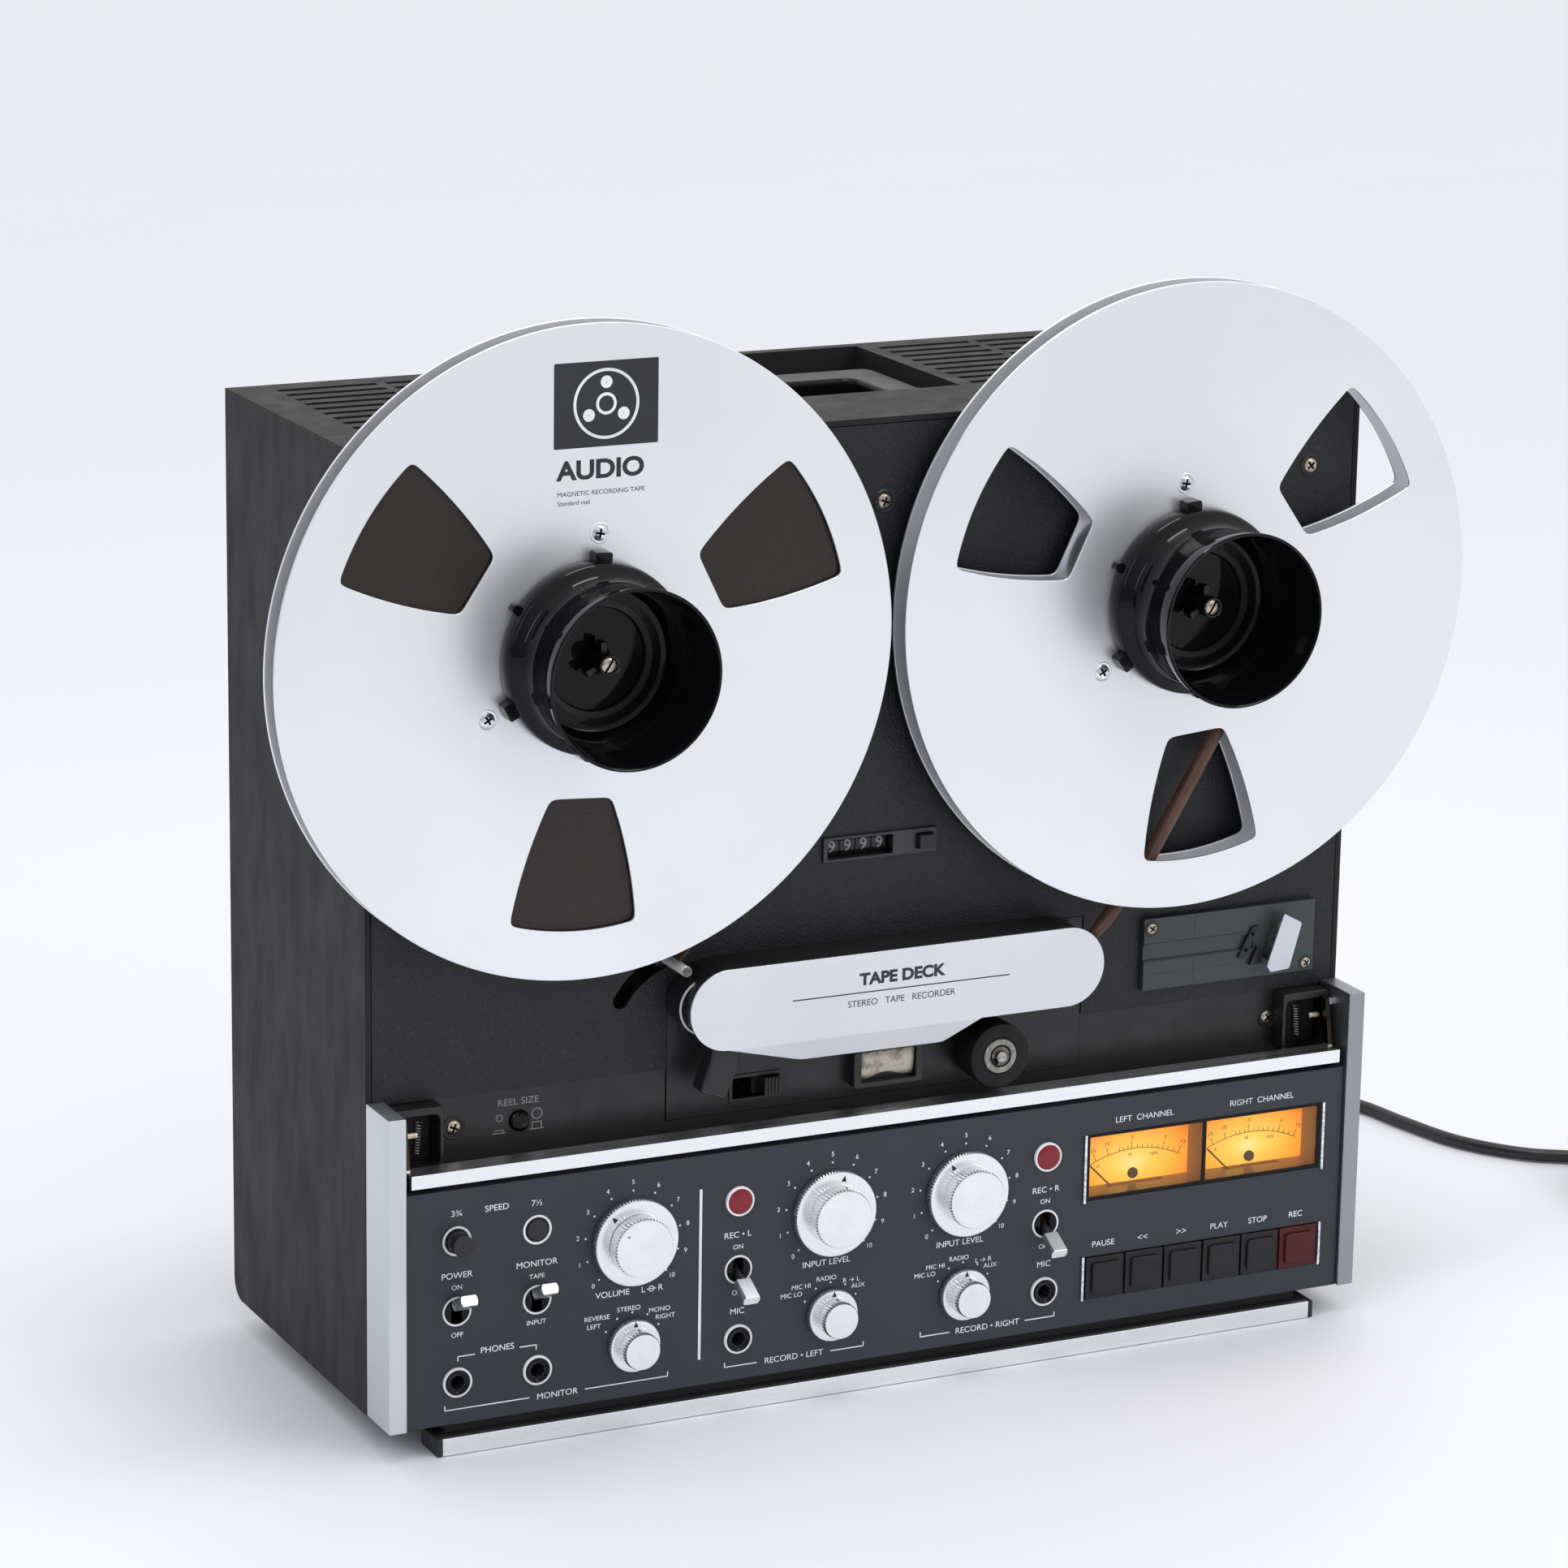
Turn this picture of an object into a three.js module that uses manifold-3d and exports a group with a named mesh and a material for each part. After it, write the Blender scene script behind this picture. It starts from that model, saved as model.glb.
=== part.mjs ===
// Upright reel-to-reel tape deck with two 10.5-inch reels on hub adaptors.
//
// Millimetres. +X is to the right as seen from the front, +Y to the back, +Z up.
// The deck frame used below has X = 0 on the centre line, Y = 0 on the face of the
// deck panel and Z = 0 on the surface the deck stands on. The last group moves it
// so that the origin is under the middle of the object.

import * as THREE from "three";
import { mergeVertices } from "three/addons/utils/BufferGeometryUtils.js";
import Module from "manifold-3d";

const wasm = await Module();
wasm.setup();

// ---------------------------------------------------------------------------
// Driving dimensions
// ---------------------------------------------------------------------------

const GAP = 0.3;

const CABINET = { half: 226, bottom: 12.1, top: 408.6, depth: 154.7, wall: 2.4, corner: 9 };
const TRAY = { half: 61.8, front: 51.8, back: 149, floor: 374, wall: 1.6 };
const VENT = { inner: 69, outer: 208, front: 54, rows: 9, columns: 3, pitch: 10.6, slot: 4.4, rib: 4 };
const REAR_FOOT = { x: 190, half: 14, front: 122, back: 148 };
const REAR_PANEL = { front: 151.4, back: 154 };
const CORD_GLAND = { x: 185, z: 50, radius: 8, back: 160 };

const DECK = { half: 223.2, bottom: 143.6, top: 405.8, thickness: 2.5 };
const LOWER_DECK = { half: 217.4, bottom: 100, top: 143.2, front: 1, back: 3.5 };
const HEAD_BAY = { left: -93.8, right: 99.9, bottom: 120.4, top: 187.2, gap: 0.4 };
const TRIM = { inner: 218.3, front: -25, bottom: 12.4, top: 145.3 };
const CHASSIS = { half: 200, bottom: 26, top: 360, front: 30, back: 33 };

const REEL = { x: 136.5, z: 325.3, radius: 133.35, bore: 38.1, hub: 57.15, flange: 1.3 };
const FLANGE_FRONT = -17.5;
const FLANGE_BACK = -5.2;
const WINDOW = { inner: 59.7, outer: 113, innerHalfAngle: 12.8, outerHalfAngle: 14.1 };
const LEFT_REEL_TURN = -3.7;
const RIGHT_REEL_TURN = 4.8;
const TAPE = { inner: 57.5, outer: 124, front: -15.2, back: -8.8 };
const ADAPTOR_RIM = -62.3;
const SPINDLE_TIP = -36;

const CAPSTAN = { x: 52, z: 161, radius: 3.5, tip: -19 };
const PINCH = { x: 51.7, z: 136.3, radius: 13.7, pivotX: 80, pivotZ: 131 };
const TENSION = { pivotX: -86, pivotZ: 158, radius: 33.1, from: 103.4, to: 149.6 };
const COVER = { left: -93.4, right: 98, z: 172.7, radius: 17.2, front: -22.5, back: -21.3 };
const EDIT_PIVOT = { x: -75, z: 158 };
const SLIDER_SLOT = { left: -63.8, right: -42, bottom: 126.2, top: 135.4 };
const SPLICER = { left: 128, right: 212.2, bottom: 151.4, top: 183, front: -3.2, groove: 167.7 };
const COUNTER = { left: -24.2, right: 28.1, bottom: 223.7, top: 234.2, windowLeft: -22.2, windowRight: 7.8 };
const RESET = { x: 22.4, z: 228.9 };

const PANEL = { half: 218, bottom: 12.4, top: 112.2, front: -22.9, thickness: 2, back: -4 };
const CONTROL_ROW = { lamp: 90.5, knob: 80.1, toggle: 60.5, selector: 35.2, jack: 30.3 };
const SPEED_BUTTONS = { slow: -195.9, fast: -160.8 };
const TOGGLES = { power: -195.9, monitor: -160.8, record_left: -70.6, record_right: 73.1 };
const JACKS = [-195.9, -160.8, -70.6, 73.1];
const LAMPS = [-70.6, 73.1];
const VOLUME_X = -118.4;
const INPUT_LEVELS = { left: -28, right: 34.2 };
const TOGGLE_ANGLE = 28;
const TOGGLE_PIVOT_Y = -19;
const METER = { left: 92.6, right: 207.2, bottom: 67.7, top: 97.4, scale: -10, pivotZ: 57.5 };
const METER_CENTRES = { left: 121.8, right: 179.4 };
const NEEDLE = { length: 30.6, angle: 135, width: 0.7 };
const KEY_ROW = { left: 92.7, right: 207.3, bottom: 23.5, top: 42.7, front: -25.4 };
const KEYS = ["pause", "rewind", "fast_forward", "play", "stop", "record"];
const COVER_BAR = { half: 215.5, bottom: 114.6, top: 120.3, front: -23.2, pivotY: -10, pivotZ: 138 };
const FOOT_BAR = { half: 205.7, front: -26.1, back: -8, top: 7.8 };

const CORD = { radius: 3, lay: 3.3 };
const COIL = { x: 444, y: 51, middle: 33, spread: 6.5, height: 30.2 };
const PLUG = { x: 480.2, front: -15, back: 9, half: 17.5, height: 14, neck: 27, pins: 19 };

// Straight sides that stand for one full turn, and for each curve of an outline.
const ROUND = 48;
const MEDIUM = 20;
const SMALL = 10;
const ARC = 4;

// ---------------------------------------------------------------------------
// Solids: three.js geometry, joined and cut by manifold-3d
// ---------------------------------------------------------------------------

const X_AXIS = new THREE.Vector3(1, 0, 0);
const Y_AXIS = new THREE.Vector3(0, 1, 0);
const Z_AXIS = new THREE.Vector3(0, 0, 1);
const FRONT_VIEW = new THREE.Matrix4().makeBasis(X_AXIS, Z_AXIS, Y_AXIS.clone().negate());
const SIDE_VIEW = new THREE.Matrix4().makeBasis(Y_AXIS, Z_AXIS, X_AXIS);

const rad = THREE.MathUtils.degToRad;

function toSolid(geometry) {
  const bare = geometry.clone();
  bare.deleteAttribute("normal");
  bare.deleteAttribute("uv");
  const merged = mergeVertices(bare, 1e-4);
  return new wasm.Manifold(new wasm.Mesh({
    numProp: 3,
    vertProperties: new Float32Array(merged.attributes.position.array),
    triVerts: new Uint32Array(merged.index.array),
  }));
}

function toGeometry(solid) {
  const mesh = solid.getMesh();
  const geometry = new THREE.BufferGeometry();
  geometry.setAttribute("position", new THREE.BufferAttribute(mesh.vertProperties, 3));
  geometry.setIndex(new THREE.BufferAttribute(mesh.triVerts, 1));
  const flat = geometry.toNonIndexed();
  flat.computeVertexNormals();
  return flat;
}

function join(...solids) {
  return solids.reduce((whole, piece) => whole.add(piece));
}

function cut(solid, ...tools) {
  return tools.reduce((rest, tool) => rest.subtract(tool), solid);
}

// A box from its low and high limits along X, Y and Z.
function block([x0, x1], [y0, y1], [z0, z1]) {
  const box = new THREE.BoxGeometry(x1 - x0, y1 - y0, z1 - z0);
  return toSolid(box.translate((x0 + x1) / 2, (y0 + y1) / 2, (z0 + z1) / 2));
}

// An outline drawn in the front view (X, Z), solid from Y = front to Y = back.
function slab(outline, front, back) {
  const options = { depth: back - front, bevelEnabled: false, curveSegments: ARC };
  const geometry = new THREE.ExtrudeGeometry(outline, options);
  return toSolid(geometry.applyMatrix4(FRONT_VIEW).translate(0, back, 0));
}

// An outline drawn in the side view (Y, Z), solid from X = left to X = right.
function sideSlab(outline, left, right) {
  const options = { depth: right - left, bevelEnabled: false, curveSegments: ARC };
  const geometry = new THREE.ExtrudeGeometry(outline, options);
  return toSolid(geometry.applyMatrix4(SIDE_VIEW).translate(left, 0, 0));
}

// A profile of [radius, y] pairs turned about an axis along Y through (x, z).
function turned(profile, segments, x = 0, z = 0) {
  const points = profile.map(([radius, y]) => new THREE.Vector2(radius, y));
  return toSolid(new THREE.LatheGeometry(points, segments).translate(x, 0, z));
}

// A plain cylinder along Y.
function rod(radius, front, back, x = 0, z = 0, segments = SMALL) {
  return turned([[0, front], [radius, front], [radius, back], [0, back]], segments, x, z);
}

// A ring along Y.
function tube(inner, outer, front, back, segments, x = 0, z = 0) {
  const profile = [[inner, front], [outer, front], [outer, back], [inner, back], [inner, front]];
  return turned(profile, segments, x, z);
}

function polygon(points) {
  return new THREE.Shape(points.map(([u, v]) => new THREE.Vector2(u, v)));
}

// Two round ends joined by straight sides: a stadium or a link between two pivots.
function link(ax, az, bx, bz, radius) {
  const angle = Math.atan2(bz - az, bx - ax);
  const outline = new THREE.Shape();
  outline.absarc(ax, az, radius, angle + Math.PI / 2, angle + (Math.PI * 3) / 2, false);
  outline.absarc(bx, bz, radius, angle - Math.PI / 2, angle + Math.PI / 2, false);
  outline.closePath();
  return outline;
}

// ---------------------------------------------------------------------------
// Finishes and the scene graph
// ---------------------------------------------------------------------------

const FINISH = {
  cabinet: [0x38383a, 0.62, 0.0],
  deck: [0x303137, 0.6, 0.1],
  panel: [0x3d4048, 0.5, 0.2],
  chassis: [0x8c8f92, 0.5, 0.7],
  motor: [0x6f7377, 0.45, 0.8],
  black: [0x141416, 0.35, 0.0],
  gloss: [0x0b0b0d, 0.12, 0.0],
  rubber: [0x1a1a1b, 0.8, 0.0],
  aluminium: [0xc9ccd1, 0.35, 0.9],
  reel: [0xe2e4e9, 0.38, 0.75],
  chrome: [0xdadde2, 0.1, 1.0],
  tape: [0x33281f, 0.4, 0.0],
  meter: [0xf0a52a, 0.4, 0.0],
  needle: [0x201408, 0.5, 0.0],
  record: [0x5c1c22, 0.45, 0.0],
};

const deck = new THREE.Group();

function part(name, solid, finish, [x, y, z] = [0, 0, 0]) {
  const [color, roughness, metalness] = FINISH[finish];
  const material = new THREE.MeshStandardMaterial({ color, roughness, metalness });
  const mesh = new THREE.Mesh(toGeometry(solid), material);
  mesh.name = name;
  mesh.position.set(x, y, z);
  deck.add(mesh);
  return mesh;
}

// ---------------------------------------------------------------------------
// Cabinet
// ---------------------------------------------------------------------------

function ventSlots(side) {
  const width = (VENT.outer - VENT.inner - VENT.rib * (VENT.columns - 1)) / VENT.columns;
  const slots = [];
  for (let row = 0; row < VENT.rows; row += 1) {
    const y = VENT.front + row * VENT.pitch;
    for (let column = 0; column < VENT.columns; column += 1) {
      const start = VENT.inner + column * (width + VENT.rib);
      const limits = [side * start, side * (start + width)].sort((a, b) => a - b);
      slots.push(block(limits, [y, y + VENT.slot], [CABINET.top - 5, CABINET.top + 1]));
    }
  }
  return slots;
}

function cabinetShell() {
  const { half, bottom, top, depth, wall, corner } = CABINET;
  const side = new THREE.Shape();
  side.moveTo(0, bottom);
  side.lineTo(depth - corner, bottom);
  side.absarc(depth - corner, bottom + corner, corner, -Math.PI / 2, 0, false);
  side.lineTo(depth, top);
  side.lineTo(0, top);
  side.closePath();
  const inside = block([wall - half, half - wall], [-1, depth + 1], [bottom + wall, top - wall]);
  const tray = block(
    [-TRAY.half - TRAY.wall, TRAY.half + TRAY.wall],
    [TRAY.front - TRAY.wall, TRAY.back + TRAY.wall],
    [TRAY.floor - TRAY.wall, top - 1],
  );
  const pocket = block([-TRAY.half, TRAY.half], [TRAY.front, TRAY.back], [TRAY.floor, top + 1]);
  const feet = [-1, 1].map((sign) => block(
    [sign * REAR_FOOT.x - REAR_FOOT.half, sign * REAR_FOOT.x + REAR_FOOT.half],
    [REAR_FOOT.front, REAR_FOOT.back - corner],
    [0, bottom + wall / 2],
  ));
  const shell = cut(sideSlab(side, -half, half), inside);
  return cut(join(shell, tray, ...feet), pocket, ...ventSlots(-1), ...ventSlots(1));
}

function rearPanel() {
  const inset = CABINET.wall + GAP;
  const plate = block(
    [inset - CABINET.half, CABINET.half - inset],
    [REAR_PANEL.front, REAR_PANEL.back],
    [CABINET.bottom + CABINET.corner, CABINET.top - inset],
  );
  const { x, z, radius, back } = CORD_GLAND;
  return join(plate, rod(radius, REAR_PANEL.front, back, x, z, MEDIUM));
}

function carryingHandle() {
  const bail = cut(
    block([-54, 54], [56, 121], [396, 404.6]),
    block([-36, 36], [50, 101], [390, 410]),
  );
  const pins = [-1, 1].map((sign) => {
    const pin = new THREE.CylinderGeometry(3, 3, 16, SMALL).rotateZ(Math.PI / 2);
    return toSolid(pin.translate(sign * 53, 62, 400.2));
  });
  return join(bail, ...pins);
}

part("cabinet_shell", cabinetShell(), "cabinet");
part("rear_panel", rearPanel(), "cabinet");
part("carrying_handle", carryingHandle(), "gloss");

// ---------------------------------------------------------------------------
// Deck panels and the frame behind them
// ---------------------------------------------------------------------------

const TURNTABLE = { radius: 45, front: -4.9, back: -1.9, hub: 8, shaft: 4.5, deckHole: 10 };
const TENSION_SLOT_HALF = 3.4;

function tensionSlot() {
  const { pivotX, pivotZ, radius, from, to } = TENSION;
  const [start, end] = [rad(from), rad(to)];
  const tip = (angle) => [pivotX + radius * Math.cos(angle), pivotZ + radius * Math.sin(angle)];
  const outline = new THREE.Shape();
  outline.absarc(pivotX, pivotZ, radius + TENSION_SLOT_HALF, start, end, false);
  outline.absarc(...tip(end), TENSION_SLOT_HALF, end, end + Math.PI, false);
  outline.absarc(pivotX, pivotZ, radius - TENSION_SLOT_HALF, end, start, true);
  outline.absarc(...tip(start), TENSION_SLOT_HALF, start + Math.PI, start + 2 * Math.PI, false);
  outline.closePath();
  return slab(outline, -1, DECK.thickness + 1);
}

function deckPanel() {
  const { half, bottom, top, thickness } = DECK;
  const plate = block([-half, half], [0, thickness], [bottom, top]);
  const bezel = block([COUNTER.left, COUNTER.right], [-0.8, 1], [COUNTER.bottom, COUNTER.top]);
  const shaftHoles = [-1, 1].map((sign) => {
    return rod(TURNTABLE.deckHole, -1, thickness + 1, sign * REEL.x, REEL.z, MEDIUM);
  });
  const headBay = block(
    [HEAD_BAY.left, HEAD_BAY.right], [-1, thickness + 1], [bottom - 1, HEAD_BAY.top],
  );
  const counterWindow = block(
    [COUNTER.windowLeft, COUNTER.windowRight],
    [-2, thickness + 1],
    [COUNTER.bottom + 1.2, COUNTER.top - 1.2],
  );
  const resetHole = block(
    [RESET.x - 3.8, RESET.x + 3.8], [-2, thickness + 1], [RESET.z - 3.3, RESET.z + 3.3],
  );
  return cut(join(plate, bezel), headBay, counterWindow, resetHole, tensionSlot(), ...shaftHoles);
}

const REEL_SIZE_BUTTON = { x: -158.7, z: 129.3, radius: 4.2 };
const HINGE_POCKET = { inner: 197, bottom: 117, top: 139.6 };

function lowerDeckPanel() {
  const { half, bottom, top, front, back } = LOWER_DECK;
  const through = [front - 1, back + 1];
  const pockets = [[-half - 1, -HINGE_POCKET.inner], [HINGE_POCKET.inner, half + 1]];
  return cut(
    block([-half, half], [front, back], [bottom, top]),
    block([HEAD_BAY.left, HEAD_BAY.right], through, [HEAD_BAY.bottom, top + 1]),
    ...pockets.map((limits) => block(limits, through, [HINGE_POCKET.bottom, HINGE_POCKET.top])),
    rod(REEL_SIZE_BUTTON.radius + 0.4, ...through, REEL_SIZE_BUTTON.x, REEL_SIZE_BUTTON.z, MEDIUM),
  );
}

const CAPSTAN_SLEEVE = 9;

function chassisFrame() {
  const { half, bottom, top, front, back } = CHASSIS;
  const plate = block([-half, half], [front, back], [bottom, top]);
  const transformer = block([-185, -115], [back - 1, 112], [36, 100]);
  const circuitBoard = block([-90, 190], [back - 1, 128], [44, 47]);
  const holes = [-1, 1].map((sign) => rod(7, front - 1, back + 1, sign * REEL.x, REEL.z));
  const sleeveHole = rod(CAPSTAN_SLEEVE + 0.5, front - 1, back + 1, CAPSTAN.x, CAPSTAN.z, MEDIUM);
  return cut(join(plate, transformer, circuitBoard), sleeveHole, ...holes);
}

part("deck_panel", deckPanel(), "deck");
part("lower_deck_panel", lowerDeckPanel(), "panel");
part("chassis_frame", chassisFrame(), "chassis");

// ---------------------------------------------------------------------------
// Reels, hub adaptors, turntables and reel motors
// ---------------------------------------------------------------------------

function onCircle(radius, degrees) {
  return new THREE.Vector2(radius * Math.cos(rad(degrees)), radius * Math.sin(rad(degrees)));
}

function reelWindow(angle) {
  const { inner, outer, innerHalfAngle, outerHalfAngle } = WINDOW;
  const points = [onCircle(inner, angle + innerHalfAngle), onCircle(inner, angle - innerHalfAngle)];
  for (let step = -2; step <= 2; step += 1) {
    points.push(onCircle(outer, angle + (step / 2) * outerHalfAngle));
  }
  return new THREE.Path(points);
}

function reel(turn) {
  const rim = [];
  for (let step = 0; step < ROUND; step += 1) {
    rim.push(onCircle(REEL.radius, (step * 360) / ROUND));
  }
  const flange = new THREE.Shape(rim);
  [30, 150, 270].forEach((angle) => flange.holes.push(reelWindow(angle + turn)));
  const inFront = slab(flange, FLANGE_FRONT, FLANGE_FRONT + REEL.flange);
  const behind = slab(flange, FLANGE_BACK - REEL.flange, FLANGE_BACK);
  const hub = rod(REEL.hub, FLANGE_FRONT, FLANGE_BACK, 0, 0, MEDIUM * 2);
  const bore = rod(REEL.bore, FLANGE_FRONT - 1, FLANGE_BACK + 1, 0, 0, MEDIUM);
  return cut(join(inFront, behind, hub), bore);
}

// The adaptor centres the reel on the turntable: a sleeve in the reel's bore, a ring with
// locking tabs against the flange, and a flared cup that is gripped to lock it.
function hubAdaptor(turn) {
  const sleeve = REEL.bore - 0.5;
  const face = FLANGE_FRONT - GAP;
  const profile = [
    [6.5, -23.5], [24, -23.5], [30.2, -25], [31, -38], [32, -46], [34.2, -56], [35.4, ADAPTOR_RIM],
    [36.9, ADAPTOR_RIM], [35.6, -55], [33.8, -46], [32.9, -38], [33.6, -31], [36.2, -27],
    [38.8, -25], [39.3, -19.5], [39, face], [sleeve, face], [sleeve, -5.4], [6.5, -5.4], [6.5, -23.5],
  ];
  const body = turned(profile, MEDIUM);
  const tabs = [];
  for (let step = 0; step < 6; step += 1) {
    const large = step % 2 === 0;
    const [width, reach, height] = large ? [8.6, 43.4, 7.4] : [4.6, 42.6, 4.6];
    const tab = new THREE.BoxGeometry(reach - 37.5, height, width);
    tab.translate((reach + 37.5) / 2, face - height / 2, 0);
    tabs.push(toSolid(tab.rotateY(-rad(90 + turn + step * 60))));
  }
  return join(body, ...tabs);
}

// One turning piece: spindle, turntable disc, shaft and motor rotor.
function turntable() {
  const { radius, front, back, hub, shaft } = TURNTABLE;
  const profile = [
    [0, SPINDLE_TIP], [3.6, SPINDLE_TIP], [4.3, SPINDLE_TIP + 0.8], [4.3, front], [radius, front],
    [radius, back], [hub, back], [hub, 10], [shaft, 10], [shaft, 40], [31, 40], [31, 68], [0, 68],
  ];
  const wings = [90, 210, 330].map((angle) => {
    const wing = new THREE.BoxGeometry(8.4, 6, 2.6).translate(4.2, -27.5, 0);
    return toSolid(wing.rotateY(-rad(angle)));
  });
  return join(turned(profile, MEDIUM), ...wings);
}

function reelMotor() {
  const plate = CHASSIS.back + GAP;
  const profile = [
    [5, plate], [44, plate], [44, 72], [31.8, 72], [31.8, 38.5], [5, 38.5], [5, plate],
  ];
  return turned(profile, MEDIUM);
}

const SIDES = [
  { name: "left", x: -REEL.x, turn: LEFT_REEL_TURN },
  { name: "right", x: REEL.x, turn: RIGHT_REEL_TURN },
];
for (const { name, x, turn } of SIDES) {
  const centre = [x, 0, REEL.z];
  part(`${name}_reel`, reel(turn), "reel", centre);
  part(`${name}_hub_adaptor`, hubAdaptor(turn), "gloss", centre);
  part(`${name}_turntable`, turntable(), "motor", centre);
  part(`${name}_reel_motor`, reelMotor(), "motor", centre);
}
const tapePack = tube(TAPE.inner, TAPE.outer, TAPE.front, TAPE.back, ROUND);
part("left_tape_pack", tapePack, "tape", [-REEL.x, 0, REEL.z]);

// ---------------------------------------------------------------------------
// Head block, tape drive and tape guides
// ---------------------------------------------------------------------------

function headBlockBase() {
  const gap = HEAD_BAY.gap;
  const limitsX = [HEAD_BAY.left + gap, HEAD_BAY.right - gap];
  const plate = block(limitsX, [0.4, 3], [HEAD_BAY.bottom + gap, HEAD_BAY.top - gap]);
  const backRadius = COVER.radius - 0.6;
  const [ax, bx] = [COVER.left + COVER.radius, COVER.right - COVER.radius];
  const backing = slab(link(ax, COVER.z, bx, COVER.z, backRadius), -1.5, -GAP);
  const bridge = block([-88, 93], [-1, 1], [158, 186]);
  const hood = cut(
    slab(link(ax, COVER.z, bx, COVER.z, backRadius), -21, -1),
    slab(link(ax, COVER.z, bx, COVER.z, backRadius - 1.8), -22, -1.2),
    block([-120, 120], [-22, -1.5], [150, 166]),
  );
  const shieldFrame = cut(
    block([-10, 21.5], [-5, 1], [126.3, 141]),
    block([-6.8, 18.8], [-6, -2], [128, 142]),
  );
  return cut(
    join(plate, backing, bridge, hood, shieldFrame),
    rod(5, -30, 10, CAPSTAN.x, CAPSTAN.z),
    rod(3.4, -30, 10, EDIT_PIVOT.x, EDIT_PIVOT.z),
    block([48.2, 57.6], [-3, 5], [132.4, 147]),
    block([SLIDER_SLOT.left, SLIDER_SLOT.right], [-3, 5], [SLIDER_SLOT.bottom, SLIDER_SLOT.top]),
  );
}

// The folded lower edge of the cover reaches down in front of the heads.
function headCover() {
  const { left, right, z, radius, front, back } = COVER;
  const outline = new THREE.Shape();
  outline.absarc(left + radius, z, radius, Math.PI / 2, (Math.PI * 3) / 2, false);
  outline.lineTo(-41.6, 146.3);
  outline.lineTo(24.2, 145.8);
  outline.lineTo(40.4, z - radius);
  outline.absarc(right - radius, z, radius, -Math.PI / 2, Math.PI / 2, false);
  outline.closePath();
  return slab(outline, front, back);
}

// Erase, record and play heads on one bridge.
function headAssembly() {
  const heads = [-26, -8, 12].map((x) => {
    const head = new THREE.Shape();
    head.moveTo(x - 7, 167);
    head.lineTo(x - 7, 160);
    head.quadraticCurveTo(x, 155.6, x + 7, 160);
    head.lineTo(x + 7, 167);
    head.closePath();
    return slab(head, -17, -4);
  });
  return join(block([-40, 28], [-16, -1.9], [166, 170.5]), ...heads);
}

function capstanRotor() {
  const { radius, tip } = CAPSTAN;
  const profile = [
    [0, tip], [radius - 0.5, tip], [radius, tip + 0.5], [radius, 41], [36, 41], [36, 76], [0, 76],
  ];
  return turned(profile, MEDIUM);
}

function capstanMotor() {
  const plate = CHASSIS.back + GAP;
  const bore = CAPSTAN.radius + 0.5;
  const profile = [
    [bore, 6], [CAPSTAN_SLEEVE, 6], [CAPSTAN_SLEEVE, plate], [30, plate], [30, 39], [bore, 39], [bore, 6],
  ];
  return turned(profile, MEDIUM);
}

function pinchRollerArm() {
  const { x, z, pivotX, pivotZ } = PINCH;
  return join(
    slab(link(pivotX, pivotZ, x, z, 5.4), 4, 7),
    rod(2.2, -20.6, 7, x, z),
    rod(3, 6, 15, pivotX, pivotZ),
  );
}

function pinchRoller() {
  const profile = [
    [2.5, -19.2], [7.6, -19.2], [7.6, -18.4], [PINCH.radius - 0.6, -18.4], [PINCH.radius, -17.8],
    [PINCH.radius, -5.6], [PINCH.radius - 0.6, -5], [2.5, -5], [2.5, -19.2],
  ];
  return turned(profile, MEDIUM);
}

function tensionArm() {
  const { pivotX, pivotZ, radius, from } = TENSION;
  const pinX = pivotX + radius * Math.cos(rad(from));
  const pinZ = pivotZ + radius * Math.sin(rad(from));
  return join(
    slab(link(pivotX, pivotZ, pinX, pinZ, 4.2), 4, 7),
    rod(2.2, -19.4, 7, pinX, pinZ),
    rod(3, 6, 15, pivotX, pivotZ),
  );
}

function editLever() {
  const paddle = polygon([
    [-86.4, 137.2], [-74.6, 133], [-68.2, 147.4], [-69.5, 162], [-80.5, 162], [-81.5, 150.5],
  ]);
  return join(slab(paddle, -17.5, -8), rod(2.8, -9, 8, EDIT_PIVOT.x, EDIT_PIVOT.z));
}

part("head_block_base", headBlockBase(), "black");
part("head_cover", headCover(), "aluminium");
part("head_assembly", headAssembly(), "chrome");
part("capstan_rotor", capstanRotor(), "chrome", [CAPSTAN.x, 0, CAPSTAN.z]);
part("capstan_motor", capstanMotor(), "motor", [CAPSTAN.x, 0, CAPSTAN.z]);
part("pinch_roller_arm", pinchRollerArm(), "motor");
part("pinch_roller", pinchRoller(), "rubber", [PINCH.x, 0, PINCH.z]);
part("tape_tension_arm", tensionArm(), "chrome");
part("edit_lever", editLever(), "black");
part(
  "edit_slider",
  join(
    block([-50.4, -43], [-3, 6], [126.9, 134.7]),
    block([-53, -40.4], [4, 6], [125, 136.6]),
  ),
  "black",
);

// ---------------------------------------------------------------------------
// Splicer, tape counter and reel-size button
// ---------------------------------------------------------------------------

function splicerBase() {
  const { left, right, bottom, top, front, groove } = SPLICER;
  return cut(
    block([left, right], [front, -GAP], [bottom, top]),
    block([left - 1, 182], [front - 1, front + 0.9], [groove - 3.2, groove + 3.2]),
  );
}

const SPLICER_CLEARANCE = -SPLICER.front + GAP;

function splicerArm() {
  const face = polygon([[186.4, 155], [195.8, 155.6], [201.4, 175.6], [192.4, 180.6], [184.6, 158]]);
  return slab(face, -11, -SPLICER_CLEARANCE);
}

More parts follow.
